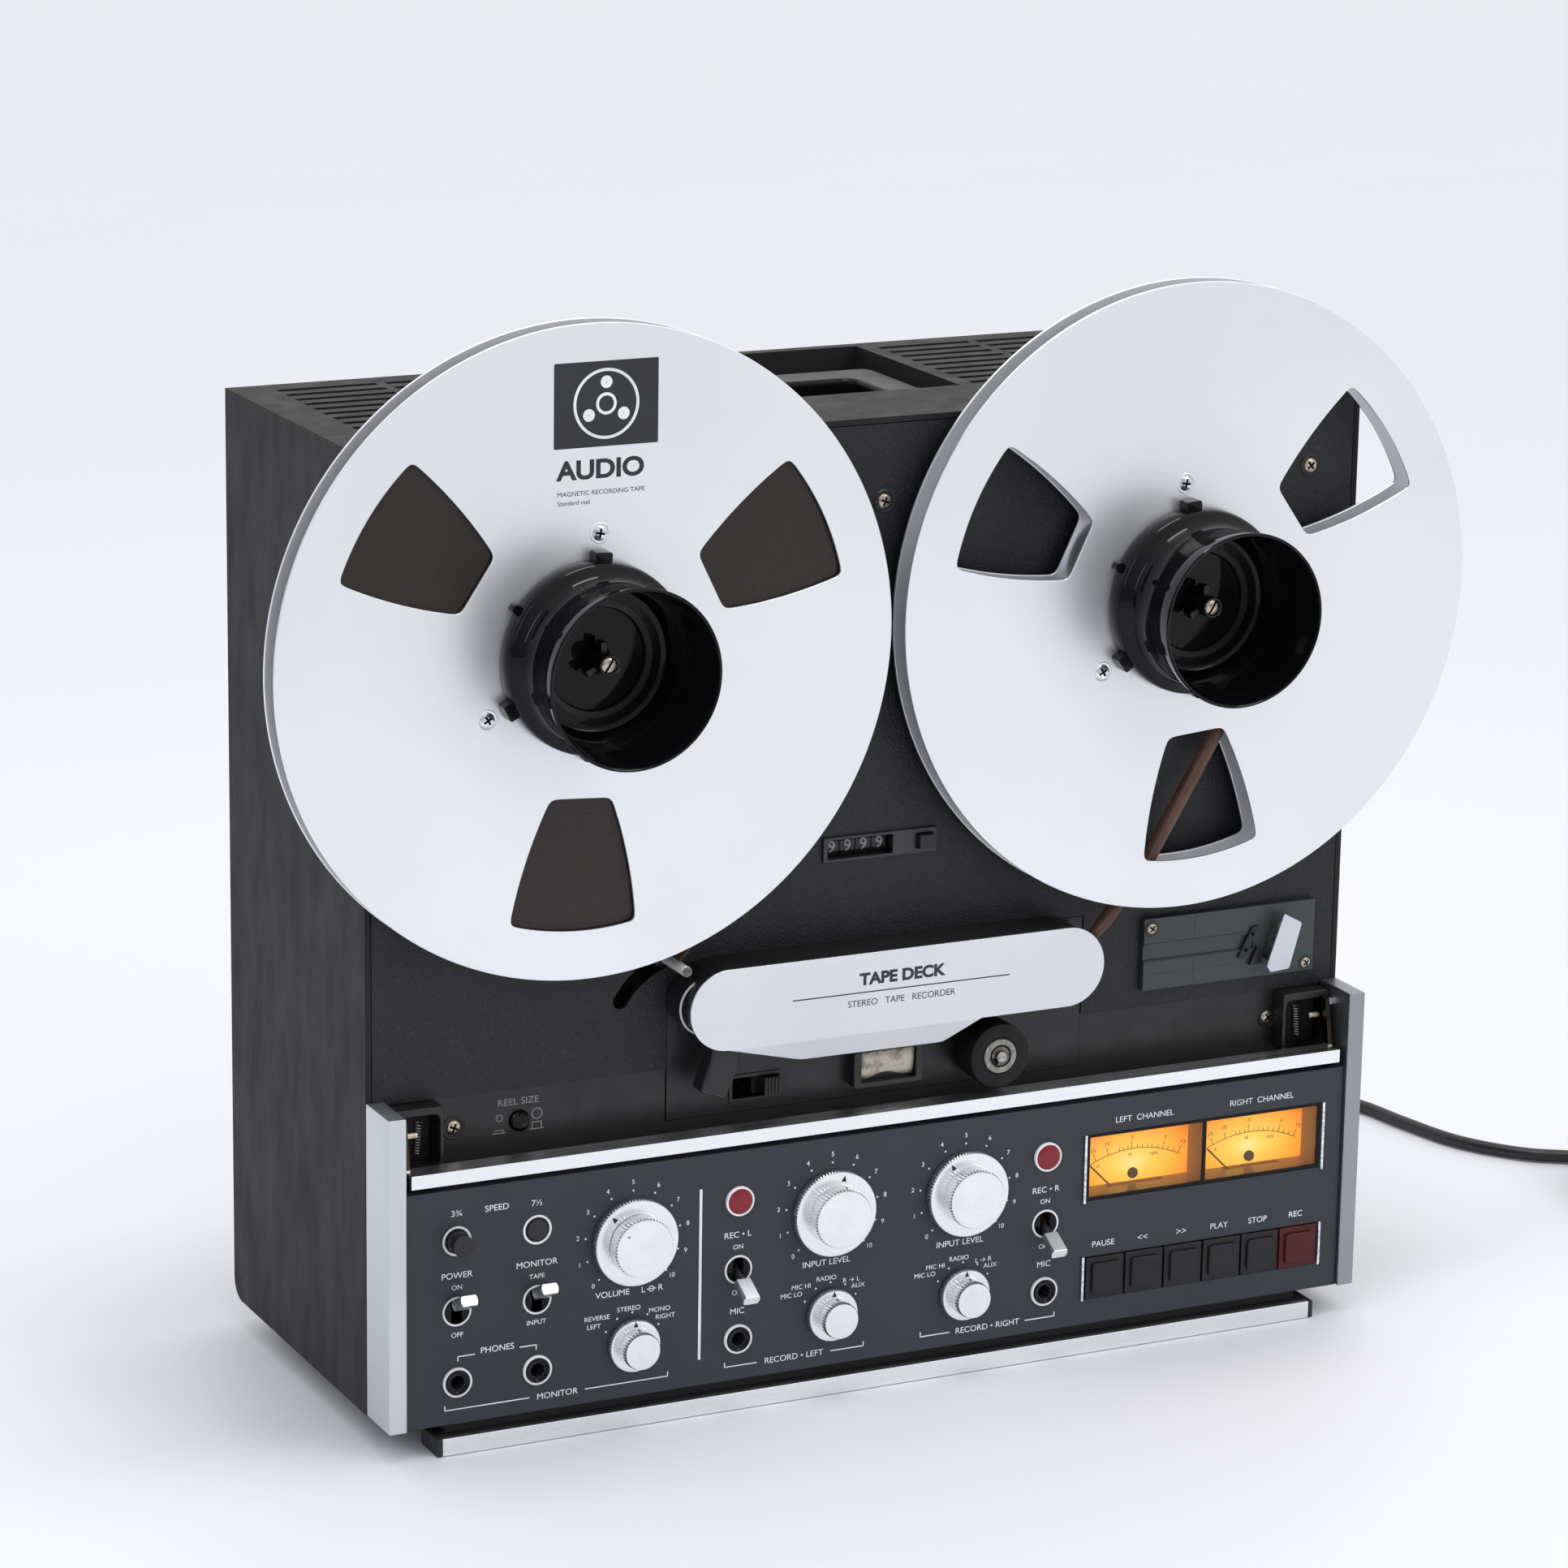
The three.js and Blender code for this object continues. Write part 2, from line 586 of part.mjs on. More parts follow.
function counterDrums() {
  const digitWidth = 7;
  const profile = [[0, -14.6]];
  for (let digit = 0; digit < 4; digit += 1) {
    const start = -14.4 + digit * (digitWidth + 0.3);
    profile.push([6.2, start], [6.8, start + 0.2], [6.8, start + digitWidth - 0.2]);
    profile.push([6.2, start + digitWidth]);
  }
  profile[0][1] = profile[1][1];
  profile.push([0, profile.at(-1)[1]]);
  const points = profile.map(([radius, y]) => new THREE.Vector2(radius, y));
  return toSolid(new THREE.LatheGeometry(points, SMALL).rotateZ(-Math.PI / 2));
}

part("splicer_base", splicerBase(), "deck");
part("splicer_arm", splicerArm(), "aluminium");
const drumX = (COUNTER.windowLeft + COUNTER.windowRight) / 2;
part("counter_drums", counterDrums(), "black", [drumX, 10.4, RESET.z]);
part(
  "counter_reset_button",
  join(
    block([RESET.x - 3.4, RESET.x + 3.4], [-4.6, 6], [RESET.z - 2.9, RESET.z + 2.9]),
    block([RESET.x - 5, RESET.x + 5], [5.6, 7.4], [RESET.z - 4.4, RESET.z + 4.4]),
  ),
  "black",
);
part(
  "reel_size_button",
  rod(REEL_SIZE_BUTTON.radius, -1.4, 12, REEL_SIZE_BUTTON.x, REEL_SIZE_BUTTON.z, MEDIUM),
  "black",
);

// ---------------------------------------------------------------------------
// Control panel
// ---------------------------------------------------------------------------

const JACK = { outer: 6, bore: 3.25, front: -23.9, floor: -5.5, back: -4 };
const SHAFT_HOLE = 4;
const VOLUME_SHAFT_HOLE = 7;
const BUTTON_RADIUS = 4.5;

function controlPanel() {
  const { half, bottom, top, front, thickness, back } = PANEL;
  const inner = front + thickness;
  const shell = join(
    block([-half, half], [front, inner], [bottom, top]),
    block([-half, half], [front, back], [top - thickness, top]),
    block([-half, half], [front, back], [bottom, bottom + thickness]),
    ...JACKS.map((x) => rod(JACK.outer, JACK.front, JACK.back, x, CONTROL_ROW.jack)),
    ...LAMPS.map((x) => rod(6, front - 1.2, inner + 3, x, CONTROL_ROW.lamp)),
  );
  const hole = (x, z, radius) => rod(radius, front - 3, inner + 1, x, z);
  const slot = (x) => block([x - 2.6, x + 2.6], [front - 1, inner + 1], [55, 66]);
  return cut(
    shell,
    ...JACKS.map((x) => rod(JACK.bore, front - 3, JACK.floor, x, CONTROL_ROW.jack)),
    ...Object.values(TOGGLES).map(slot),
    ...Object.values(SPEED_BUTTONS).map((x) => hole(x, CONTROL_ROW.lamp, BUTTON_RADIUS + 0.4)),
    ...Object.values(INPUT_LEVELS).map((x) => hole(x, CONTROL_ROW.knob, SHAFT_HOLE)),
    hole(VOLUME_X, CONTROL_ROW.knob, VOLUME_SHAFT_HOLE),
    ...[VOLUME_X, ...Object.values(INPUT_LEVELS)].map((x) => hole(x, CONTROL_ROW.selector, SHAFT_HOLE)),
    block([METER.left, METER.right], [front - 1, inner + 1], [METER.bottom, METER.top]),
    block([KEY_ROW.left, KEY_ROW.right], [front - 1, inner + 1], [KEY_ROW.bottom, KEY_ROW.top]),
  );
}

const KNOB = { skirt: 18.7, cap: 12.8, shaft: 3.2, step: -27.6, front: -35 };
const SELECTOR = { skirt: 11.4, cap: 8, shaft: 3.2, step: -26.8, front: -34.2 };

// A knurled skirt with a smaller cap in front of it, on its shaft.
function knob({ skirt, cap, shaft, step, front }) {
  const base = PANEL.front - GAP;
  const profile = [
    [0, front], [cap - 0.6, front], [cap, front + 0.6], [cap, step], [skirt - 1.6, step],
    [skirt, step + 1.2], [skirt, base], [shaft, base], [shaft, -12], [0, -12],
  ];
  return turned(profile, MEDIUM);
}

function volumeOuterKnob() {
  const { skirt, step } = KNOB;
  const base = PANEL.front - GAP;
  const profile = [
    [4.3, step], [skirt - 1.6, step], [skirt, step + 1.2], [skirt, base], [6.2, base],
    [6.2, -13], [4.3, -13], [4.3, step],
  ];
  return turned(profile, MEDIUM);
}

function volumeInnerKnob() {
  const { cap, step, front } = KNOB;
  const back = step - GAP;
  const profile = [
    [0, front], [cap - 0.6, front], [cap, front + 0.6], [cap, back], [3.8, back], [3.8, -10], [0, -10],
  ];
  return turned(profile, MEDIUM);
}

function toggleLever() {
  const profile = [
    [0, -19.6], [2.6, -19.6], [3, -18.8], [3, -13], [2.4, -12.4], [2.4, -7], [1.8, -5], [1.8, 2.4], [0, 2.4],
  ];
  return turned(profile, SMALL);
}

part("control_panel", controlPanel(), "panel");
part("volume_outer_knob", volumeOuterKnob(), "aluminium", [VOLUME_X, 0, CONTROL_ROW.knob]);
part("volume_inner_knob", volumeInnerKnob(), "aluminium", [VOLUME_X, 0, CONTROL_ROW.knob]);
for (const [side, x] of Object.entries(INPUT_LEVELS)) {
  part(`input_level_${side}_knob`, knob(KNOB), "aluminium", [x, 0, CONTROL_ROW.knob]);
  part(`input_selector_${side}_knob`, knob(SELECTOR), "aluminium", [x, 0, CONTROL_ROW.selector]);
}
part("monitor_selector_knob", knob(SELECTOR), "aluminium", [VOLUME_X, 0, CONTROL_ROW.selector]);

for (const [name, x] of Object.entries(TOGGLES)) {
  const up = name === "power" || name === "monitor";
  const mesh = part(`${name}_toggle`, toggleLever(), "chrome", [x, TOGGLE_PIVOT_Y, CONTROL_ROW.toggle]);
  mesh.rotation.x = rad(up ? -TOGGLE_ANGLE : TOGGLE_ANGLE);
}

const SPEED_TRAVEL = 6.8;
const SPEED_FRONT = -30.4;
const SPEED_BACK = -14;
const slowButton = rod(BUTTON_RADIUS, SPEED_FRONT, SPEED_BACK, SPEED_BUTTONS.slow, CONTROL_ROW.lamp, MEDIUM);
const fastButton = rod(
  BUTTON_RADIUS, SPEED_FRONT + SPEED_TRAVEL, SPEED_BACK + SPEED_TRAVEL,
  SPEED_BUTTONS.fast, CONTROL_ROW.lamp, MEDIUM,
);
part("speed_slow_button", slowButton, "black");
part("speed_fast_button", fastButton, "black");

const keyPitch = (KEY_ROW.right - KEY_ROW.left) / KEYS.length;
KEYS.forEach((name, index) => {
  const left = KEY_ROW.left + index * keyPitch + GAP;
  const key = block(
    [left, left + keyPitch - 2 * GAP],
    [KEY_ROW.front, -14],
    [KEY_ROW.bottom + GAP, KEY_ROW.top - GAP],
  );
  part(`${name}_key`, key, name === "record" ? "record" : "black");
});

// ---------------------------------------------------------------------------
// Level meters
// ---------------------------------------------------------------------------

const MOVEMENT = { bottom: 53, front: -20.6, floor: 54.6, slotFront: -14, slotHalf: 14 };

// Two lit dials in one housing. The needles turn below the window, behind the panel.
function meterUnit() {
  const { left, right, bottom, top, scale, pivotZ } = METER;
  const middle = (left + right) / 2;
  const width = [left + GAP, right - GAP];
  const window = block(width, [PANEL.front + 0.5, -5], [bottom + GAP, top - GAP]);
  const movement = block(width, [MOVEMENT.front, -5], [MOVEMENT.bottom, bottom + 1]);
  const pockets = [[left + 1.5, middle - 1], [middle + 1, right - 1.5]];
  const dials = pockets.map((limits) => block(limits, [PANEL.front, scale], [bottom + 1.6, top - 1.6]));
  const centres = Object.values(METER_CENTRES);
  const sweeps = centres.map((x) => block(
    [x - MOVEMENT.slotHalf, x + MOVEMENT.slotHalf],
    [MOVEMENT.slotFront, scale],
    [MOVEMENT.floor, bottom + 2],
  ));
  const pivots = centres.map((x) => rod(1, scale - 3.4, scale + 1, x, pivotZ));
  return join(cut(join(window, movement), ...dials, ...sweeps), ...pivots);
}

function needle() {
  const { length, width, angle } = NEEDLE;
  const pointer = new THREE.BoxGeometry(length - 2, 0.7, width);
  pointer.translate(2 + (length - 2) / 2, METER.scale - 2.05, 0).rotateY(-rad(angle));
  return join(tube(1.3, 2.4, METER.scale - 2.6, METER.scale - 1.2, SMALL), toSolid(pointer));
}

part("meter_unit", meterUnit(), "meter");
for (const [side, x] of Object.entries(METER_CENTRES)) {
  part(`${side}_meter_needle`, needle(), "needle", [x, 0, METER.pivotZ]);
}

// ---------------------------------------------------------------------------
// Trims, cover bar and foot bar
// ---------------------------------------------------------------------------

for (const sign of [-1, 1]) {
  const limits = [sign * TRIM.inner, sign * CABINET.half].sort((a, b) => a - b);
  const trim = block(limits, [TRIM.front, -GAP], [TRIM.bottom, TRIM.top]);
  part(sign < 0 ? "left_trim" : "right_trim", trim, "aluminium");
}

// The bar hangs on two arms that turn on pins between the side trims.
function coverBar() {
  const { half, bottom, top, front, pivotY, pivotZ } = COVER_BAR;
  const face = block([-half, half], [front, front + 2], [bottom, top]);
  const ledge = block([-half, half], [front, -13], [top - 1.5, top]);
  const armOutline = polygon([
    [-17, top - 1], [-13, top - 1], [pivotY + 3, pivotZ - 2], [pivotY + 2, pivotZ + 3], [pivotY - 3, pivotZ + 2],
  ]);
  const arms = [-1, 1].flatMap((sign) => {
    const limits = [sign * (half - 2), sign * half].sort((a, b) => a - b);
    const pin = new THREE.CylinderGeometry(1.8, 1.8, 3.4, SMALL).rotateZ(Math.PI / 2);
    return [
      sideSlab(armOutline, ...limits),
      toSolid(pin.translate(sign * (half + 0.6), pivotY, pivotZ)),
    ];
  });
  return join(face, ledge, ...arms);
}

function footBar() {
  const { half, front, back, top } = FOOT_BAR;
  return join(
    block([-half, half], [front, back], [0, top]),
    block([6 - half, half - 6], [front + 7, back - 1], [top - 1, PANEL.bottom - GAP]),
  );
}

part("cover_bar", coverBar(), "aluminium");
part("foot_bar", footBar(), "aluminium");

// ---------------------------------------------------------------------------
// Mains cord: the stretch to the coil, the coil and the plug
// ---------------------------------------------------------------------------

const CORD_ROUTE = [
  [CORD_GLAND.x, CORD_GLAND.back + GAP, CORD_GLAND.z],
  [185, 184, 48],
  [192, 212, 34],
  [210, 240, 14.5],
  [226, 252, 6.6],
  [246, 262.5, 3.8],
  [288, 272, 3.4],
  [330, 264, CORD.lay],
  [362, 240, CORD.lay],
  [376, 210, CORD.lay],
  [381.5, 180.4, CORD.lay],
  [390.8, 144.5, CORD.lay],
  [409.8, 117.4, CORD.lay],
  [425.9, 106.3, CORD.lay],
  [446.1, 93.1, CORD.lay],
];

function cordTube() {
  const route = new THREE.CatmullRomCurve3(CORD_ROUTE.map((point) => new THREE.Vector3(...point)));
  const section = new THREE.Shape();
  section.absarc(0, 0, CORD.radius, 0, 2 * Math.PI, false);
  const options = { steps: 40, curveSegments: 4, extrudePath: route };
  return toSolid(new THREE.ExtrudeGeometry(section, options));
}

function cordCoil() {
  const { x, y, middle, spread, height } = COIL;
  const profile = [
    [middle - spread, 0], [middle + spread, 0], [middle + spread, height], [middle - spread, height],
    [middle - spread, 0],
  ].map(([radius, z]) => new THREE.Vector2(radius, z));
  const ring = new THREE.LatheGeometry(profile, MEDIUM).rotateX(Math.PI / 2);
  return toSolid(ring.translate(x, y, 0));
}

const PLUG_NECK_RADIUS = 4.6;
const PIN_OFFSET = 9.5;
const PIN_RADIUS = 2;

// The neck takes the cord where it leaves the coil, and the pins point away from it.
function powerPlug() {
  const { x, front, back, half, height, neck, pins } = PLUG;
  const middle = height / 2;
  return join(
    block([x - half, x + half], [front, back], [0, height]),
    rod(PLUG_NECK_RADIUS, back - 1, neck, x, middle),
    ...[-PIN_OFFSET, PIN_OFFSET].map((side) => rod(PIN_RADIUS, front - pins, front + 1, x + side, middle)),
  );
}

part("power_cord", cordTube(), "rubber");
part("cord_coil", cordCoil(), "rubber");
part("power_plug", powerPlug(), "rubber");

// ---------------------------------------------------------------------------
// The whole deck, with its origin on the ground under the middle of the object
// ---------------------------------------------------------------------------

deck.position.y = -(ADAPTOR_RIM + CORD_GLAND.back) / 2;

const tapeDeck = new THREE.Group();
tapeDeck.add(deck);
tapeDeck.updateMatrixWorld(true);

export default tapeDeck;
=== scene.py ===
import math

import bmesh
import bpy
from mathutils import Matrix, Vector


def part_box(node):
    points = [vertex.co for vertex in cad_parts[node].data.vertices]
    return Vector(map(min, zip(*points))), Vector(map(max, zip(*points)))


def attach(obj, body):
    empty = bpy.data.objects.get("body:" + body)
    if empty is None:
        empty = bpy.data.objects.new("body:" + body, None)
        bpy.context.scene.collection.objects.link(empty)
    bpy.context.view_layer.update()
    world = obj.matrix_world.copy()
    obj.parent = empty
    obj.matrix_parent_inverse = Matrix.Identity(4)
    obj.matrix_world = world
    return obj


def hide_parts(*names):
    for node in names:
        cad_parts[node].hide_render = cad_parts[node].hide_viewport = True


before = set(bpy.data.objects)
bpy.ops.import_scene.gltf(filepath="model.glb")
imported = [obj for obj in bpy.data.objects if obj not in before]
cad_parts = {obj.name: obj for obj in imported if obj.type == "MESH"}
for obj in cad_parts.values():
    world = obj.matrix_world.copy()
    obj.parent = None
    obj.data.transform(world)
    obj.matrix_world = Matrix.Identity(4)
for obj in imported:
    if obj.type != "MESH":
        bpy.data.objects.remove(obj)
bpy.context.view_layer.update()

# Lengths below are millimetres in the deck's own frame: X to the right of the centre line, Y behind
# the deck panel's face and Z above the ground. at() turns them into metres in the CAD frame.
MM = 0.001
FACE_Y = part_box("cabinet_shell")[0].y


def at(x, y, z):
    return Vector((x * MM, FACE_Y + y * MM, z * MM))


def deck_box(node):
    """A CAD node's lowest and highest corner in the deck's millimetres."""
    lo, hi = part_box(node)
    shift = Vector((0, FACE_Y, 0))
    return (lo - shift) / MM, (hi - shift) / MM


def deck_centre(node):
    lo, hi = deck_box(node)
    return (lo + hi) / 2


def add_object(name, data):
    """A new object for the data, linked into the scene."""
    obj = bpy.data.objects.new(name, data)
    bpy.context.scene.collection.objects.link(obj)
    return obj


# ---------------------------------------------------------------------------
# Camera
# ---------------------------------------------------------------------------

AZIMUTH, ELEVATION, ROLL = math.radians(-25.97), math.radians(14.81), math.radians(0.93)
CAMERA_PLACE = (-985.87, -1937.53, 828.92)
SENSOR_WIDTH, LENS = 36, 125.19


def place_camera():
    """A long lens in front of the deck, to its left and a little above it."""
    data = bpy.data.cameras.new("camera")
    data.sensor_width, data.lens = SENSOR_WIDTH, LENS
    camera = add_object("camera", data)
    back = Vector((
        math.sin(AZIMUTH) * math.cos(ELEVATION),
        -math.cos(AZIMUTH) * math.cos(ELEVATION),
        math.sin(ELEVATION),
    ))
    right = Vector((math.cos(AZIMUTH), math.sin(AZIMUTH), 0))
    up = back.cross(right)
    rolled_right = right * math.cos(ROLL) + up * math.sin(ROLL)
    rolled_up = up * math.cos(ROLL) - right * math.sin(ROLL)
    turn = Matrix((rolled_right, rolled_up, back)).transposed().to_4x4()
    camera.matrix_world = Matrix.Translation(at(*CAMERA_PLACE)) @ turn
    bpy.context.scene.camera = camera


place_camera()

# ---------------------------------------------------------------------------
# Materials
# ---------------------------------------------------------------------------

NOISE_LOW, NOISE_HIGH = 0.3, 0.7    # nearly all of a noise texture's values lie between these


class Shader:
    """A Principled material with small helpers for procedural detail in object space."""

    def __init__(self, name, colour, roughness, metallic=0.0, **sockets):
        self.material = bpy.data.materials.new(name)
        self.material.use_nodes = True
        self.tree = self.material.node_tree
        self.bsdf = self.tree.nodes["Principled BSDF"]
        self.colour, self.roughness, self.relief = colour, roughness, None
        self.set(self.bsdf, "Base Color", (*colour, 1))
        self.set(self.bsdf, "Roughness", roughness)
        self.set(self.bsdf, "Metallic", metallic)
        for key, value in sockets.items():
            self.set(self.bsdf, key.replace("_", " "), value)
        self.surface = self.tree.nodes.new("ShaderNodeTexCoord").outputs["Object"]

    def set(self, node, socket, value):
        """Links another node's output to a socket, or sets the socket to a plain value."""
        if isinstance(value, bpy.types.NodeSocket):
            self.tree.links.new(value, node.inputs[socket])
        else:
            node.inputs[socket].default_value = value

    def node(self, kind, inputs=None, **settings):
        node = self.tree.nodes.new(kind)
        for key, value in settings.items():
            setattr(node, key, value)
        for key, value in (inputs or {}).items():
            self.set(node, key, value)
        return node

    def axis(self, name):
        """One coordinate of the surface in metres: X, Y or Z."""
        return self.node("ShaderNodeSeparateXYZ", {"Vector": self.surface}).outputs[name]

    def vector(self, operation, first, second=(0, 0, 0)):
        return self.node("ShaderNodeVectorMath", {0: first, 1: second}, operation=operation).outputs

    def reach(self, x, z, weights=(1, 0, 1)):
        """The weighted distance from the line along Y through x, z."""
        offset = self.vector("SUBTRACT", self.surface, at(x, 0, z))["Vector"]
        return self.vector("LENGTH", self.vector("MULTIPLY", offset, weights)["Vector"])["Value"]

    def rings(self, x, z):
        """Coordinates of a turned or wound surface, the same all round the line through x, z."""
        return self.node("ShaderNodeCombineXYZ", {"X": self.reach(x, z)}).outputs["Vector"]

    def stretched(self, stretch):
        inputs = {"Vector": self.surface, "Scale": stretch}
        return self.node("ShaderNodeMapping", inputs).outputs["Vector"]

    def noise(self, scale, stretch=(1, 1, 1), detail=3.0, vector=None):
        inputs = {"Scale": scale, "Detail": detail, "Vector": vector or self.stretched(stretch)}
        return self.node("ShaderNodeTexNoise", inputs).outputs["Fac"]

    def pebbles(self, scale):
        inputs = {"Scale": scale, "Vector": self.stretched((1, 1, 1))}
        return self.node("ShaderNodeTexVoronoi", inputs, feature="SMOOTH_F1").outputs["Distance"]

    def ramp(self, value, low, high, at_low=0.0, at_high=1.0):
        inputs = {"Value": value, "From Min": low, "From Max": high, "To Min": at_low, "To Max": at_high}
        return self.node("ShaderNodeMapRange", inputs).outputs["Result"]

    def gradient(self, socket, value, stops):
        """Feeds one of the surface's colours from (position, colour) stops."""
        node = self.node("ShaderNodeValToRGB", {"Fac": value})
        elements = node.color_ramp.elements
        while len(elements) < len(stops):
            elements.new(1.0)
        for element, (position, colour) in zip(elements, stops):
            element.position, element.color = position, (*colour, 1)
        self.set(self.bsdf, socket, node.outputs["Color"])
        return self

    def tint(self, value, dark, light, low=NOISE_LOW, high=NOISE_HIGH):
        """Shades the base colour between dark and light multiples of itself."""
        shades = [[min(1, channel * share) for channel in self.colour] for share in (dark, light)]
        return self.gradient("Base Color", value, [(low, shades[0]), (high, shades[1])])

    def rough(self, value, spread):
        smooth, dull = self.roughness - spread, self.roughness + spread
        self.set(self.bsdf, "Roughness", self.ramp(value, NOISE_LOW, NOISE_HIGH, smooth, dull))
        return self

    def bump(self, value, distance, strength):
        """Adds relief over the relief so far. The distance is in millimetres."""
        inputs = {"Height": value, "Distance": distance * MM, "Strength": strength}
        if self.relief is not None:
            inputs["Normal"] = self.relief
        self.relief = self.node("ShaderNodeBump", inputs).outputs["Normal"]
        self.set(self.bsdf, "Normal", self.relief)
        return self


def plastic(name, colour, roughness, grain=1.0, **sockets):
    shader = Shader(name, colour, roughness, **sockets)
    shader.tint(shader.noise(35), 0.85, 1.18)
    shader.rough(shader.noise(90, detail=6), 0.07)
    return shader.bump(shader.noise(1700, detail=4), 0.06 * grain, 0.6)


def gloss(name, colour, roughness, specular=0.2):
    """Polished moulding with faint handling marks."""
    shader = Shader(name, colour, roughness, Specular_IOR_Level=specular)
    shader.tint(shader.noise(25), 0.8, 1.3)
    shader.rough(shader.noise(45, detail=6), 0.04)
    return shader.bump(shader.noise(160, detail=2), 0.02, 0.3)


def brushed(name, colour, roughness, stretch, metallic=1.0, depth=0.02):
    """Metal with fine lines: stretch is short along the lines and long across them."""
    shader = Shader(name, colour, roughness, metallic)
    lines = shader.noise(14, stretch, 6)
    shader.tint(shader.noise(9, detail=5), 0.93, 1.05)
    shader.rough(lines, 0.055)
    return shader.bump(lines, depth, 0.5)


def cabinet_material():
    shader = Shader("cabinet_lacquer", (0.016, 0.0155, 0.0165), 0.6, Specular_IOR_Level=0.24)
    shader.tint(shader.noise(3.2, (14, 14, 1), 5), 0.90, 1.12)
    shader.rough(shader.noise(30, (3, 3, 1), 5), 0.08)
    shader.bump(shader.noise(420, (1, 1, 0.25), 5), 0.12, 0.55)
    return shader.bump(shader.noise(1500), 0.05, 0.5)


def deck_material():
    """Black textured paint: fine pebbles, and a dark dusting of painted glints, bright specks in the base
    colour that stand for the paint's sparkle.
    """
    shader = Shader("deck_crackle_paint", (0.0115, 0.012, 0.0145), 0.46, Specular_IOR_Level=0.38)
    # Painted glints: bright specks in the base colour stand in for light sparkling on the paint's pebbles.
    painted_glints = shader.noise(950, detail=2)
    shader.tint(painted_glints, 0.84, 2.7, 0.56, 0.82)
    shader.rough(shader.noise(40, detail=5), 0.06)
    shader.bump(shader.pebbles(1150), 0.22, 0.8)
    return shader.bump(shader.noise(600, detail=3), 0.12, 0.6)


def panel_material():
    shader = Shader("panel_slate_paint", (0.026, 0.0295, 0.039), 0.44, Specular_IOR_Level=0.42)
    shader.tint(shader.noise(4, detail=2), 0.88, 1.12)
    shader.rough(shader.noise(60, detail=6), 0.05)
    return shader.bump(shader.noise(2300, detail=3), 0.035, 0.5)


def reel_material(name, x, z):
    """Satin anodised flange with turned lines round the hub and a few soft scuffs."""
    shader = Shader(name, (0.88, 0.89, 0.915), 0.36, 0.8)
    lines = shader.noise(5200, detail=4, vector=shader.rings(x, z))
    shader.tint(shader.noise(11, detail=6), 0.965, 1.03)
    shader.rough(lines, 0.07)
    return shader.bump(lines, 0.006, 0.5)


def tape_material(name, x, z):
    shader = Shader(name, (0.018, 0.0115, 0.0095), 0.36, Specular_IOR_Level=0.4)
    lines = shader.noise(900, detail=5, vector=shader.rings(x, z))
    shader.tint(lines, 0.75, 1.45)
    shader.rough(shader.noise(60, detail=4), 0.08)
    return shader.bump(lines, 0.05, 0.6)


def spun_material(name, x, z):
    """Bright turned aluminium: lines round a knob's own centre, which fan its highlights out."""
    shader = Shader(name, (0.88, 0.885, 0.90), 0.26, 1.0, Anisotropic=0.55)
    around = shader.node("ShaderNodeTangent", direction_type="RADIAL", axis="Y")
    shader.set(shader.bsdf, "Tangent", around.outputs["Tangent"])
    lines = shader.noise(5000, detail=3, vector=shader.rings(x, z))
    shader.tint(shader.noise(120, detail=4), 0.96, 1.02)
    shader.rough(lines, 0.06)
    return shader.bump(lines, 0.005, 0.6)


def dial_material(name, x, z):
    """A lit amber dial: bright over its lamp and deeper orange towards its edges."""
    shader = Shader(name, (0.35, 0.14, 0.02), 0.4, Emission_Strength=1.0)
    share = shader.ramp(shader.reach(x, z, (0.62, 0, 1)), 0.0, 23 * MM)
    shader.gradient("Emission Color", share, [
        (0.0, (1.0, 0.80, 0.30)), (0.22, (1.0, 0.62, 0.08)), (0.55, (1.0, 0.42, 0.02)),
        (0.82, (0.90, 0.24, 0.008)), (1.0, (0.55, 0.09, 0.003)),
    ])
    return shader.bump(shader.noise(400, detail=2), 0.02, 0.3)


def wall_material():
    """The inside of the meter box, with a painted glow: emission stands in for the lit dials' light on the
    wall and fades as painted shade towards the glass.
    """
    shader = Shader("meter_wall_painted_glow", (0.030, 0.010, 0.004), 0.3, Emission_Strength=0.8)
    # Painted glow and shade: the emission colour is bright beside the dials and dark towards the glass.
    share = shader.ramp(shader.axis("Y"), FACE_Y - 22 * MM, FACE_Y - 10.4 * MM)
    shader.gradient("Emission Color", share, [(0.0, (0.035, 0.006, 0.002)), (1.0, (0.24, 0.055, 0.004))])
    return shader.bump(shader.noise(300, detail=2), 0.01, 0.3)


def cover_bar_material():
    """Bright aluminium on the bar itself and a dark brown painted reflection on the arms above it."""
    bright, brown_reflection = (0.88, 0.89, 0.91), (0.085, 0.062, 0.042)
    shader = brushed("cover_bar_aluminium", bright, 0.30, (0.7, 55, 55), depth=0.003)
    # Painted reflection: above 121 mm the aluminium turns dark brown.
    share = shader.ramp(shader.axis("Z"), 120.5 * MM, 121 * MM)
    return shader.gradient("Base Color", share, [(0.0, bright), (1.0, brown_reflection)])


def shield_material():
    """Pale enamel with brown stains."""
    shader = plastic("head_shield", (0.66, 0.60, 0.49), 0.4, 2.5)
    return shader.tint(shader.noise(240, detail=6), 0.55, 1.12, 0.36, 0.52)


def glowing(name, colour, roughness, glow, strength):
    return plastic(name, colour, roughness, 0.3, Emission_Color=(*glow, 1), Emission_Strength=strength)


def worn_metal(name, colour, roughness):
    shader = Shader(name, colour, roughness, 1.0)
    shader.tint(shader.noise(700, detail=5), 0.6, 1.1, 0.35, 0.6)
    shader.rough(shader.noise(500, detail=4), 0.1)
    return shader.bump(shader.noise(900, detail=4), 0.03, 0.5)


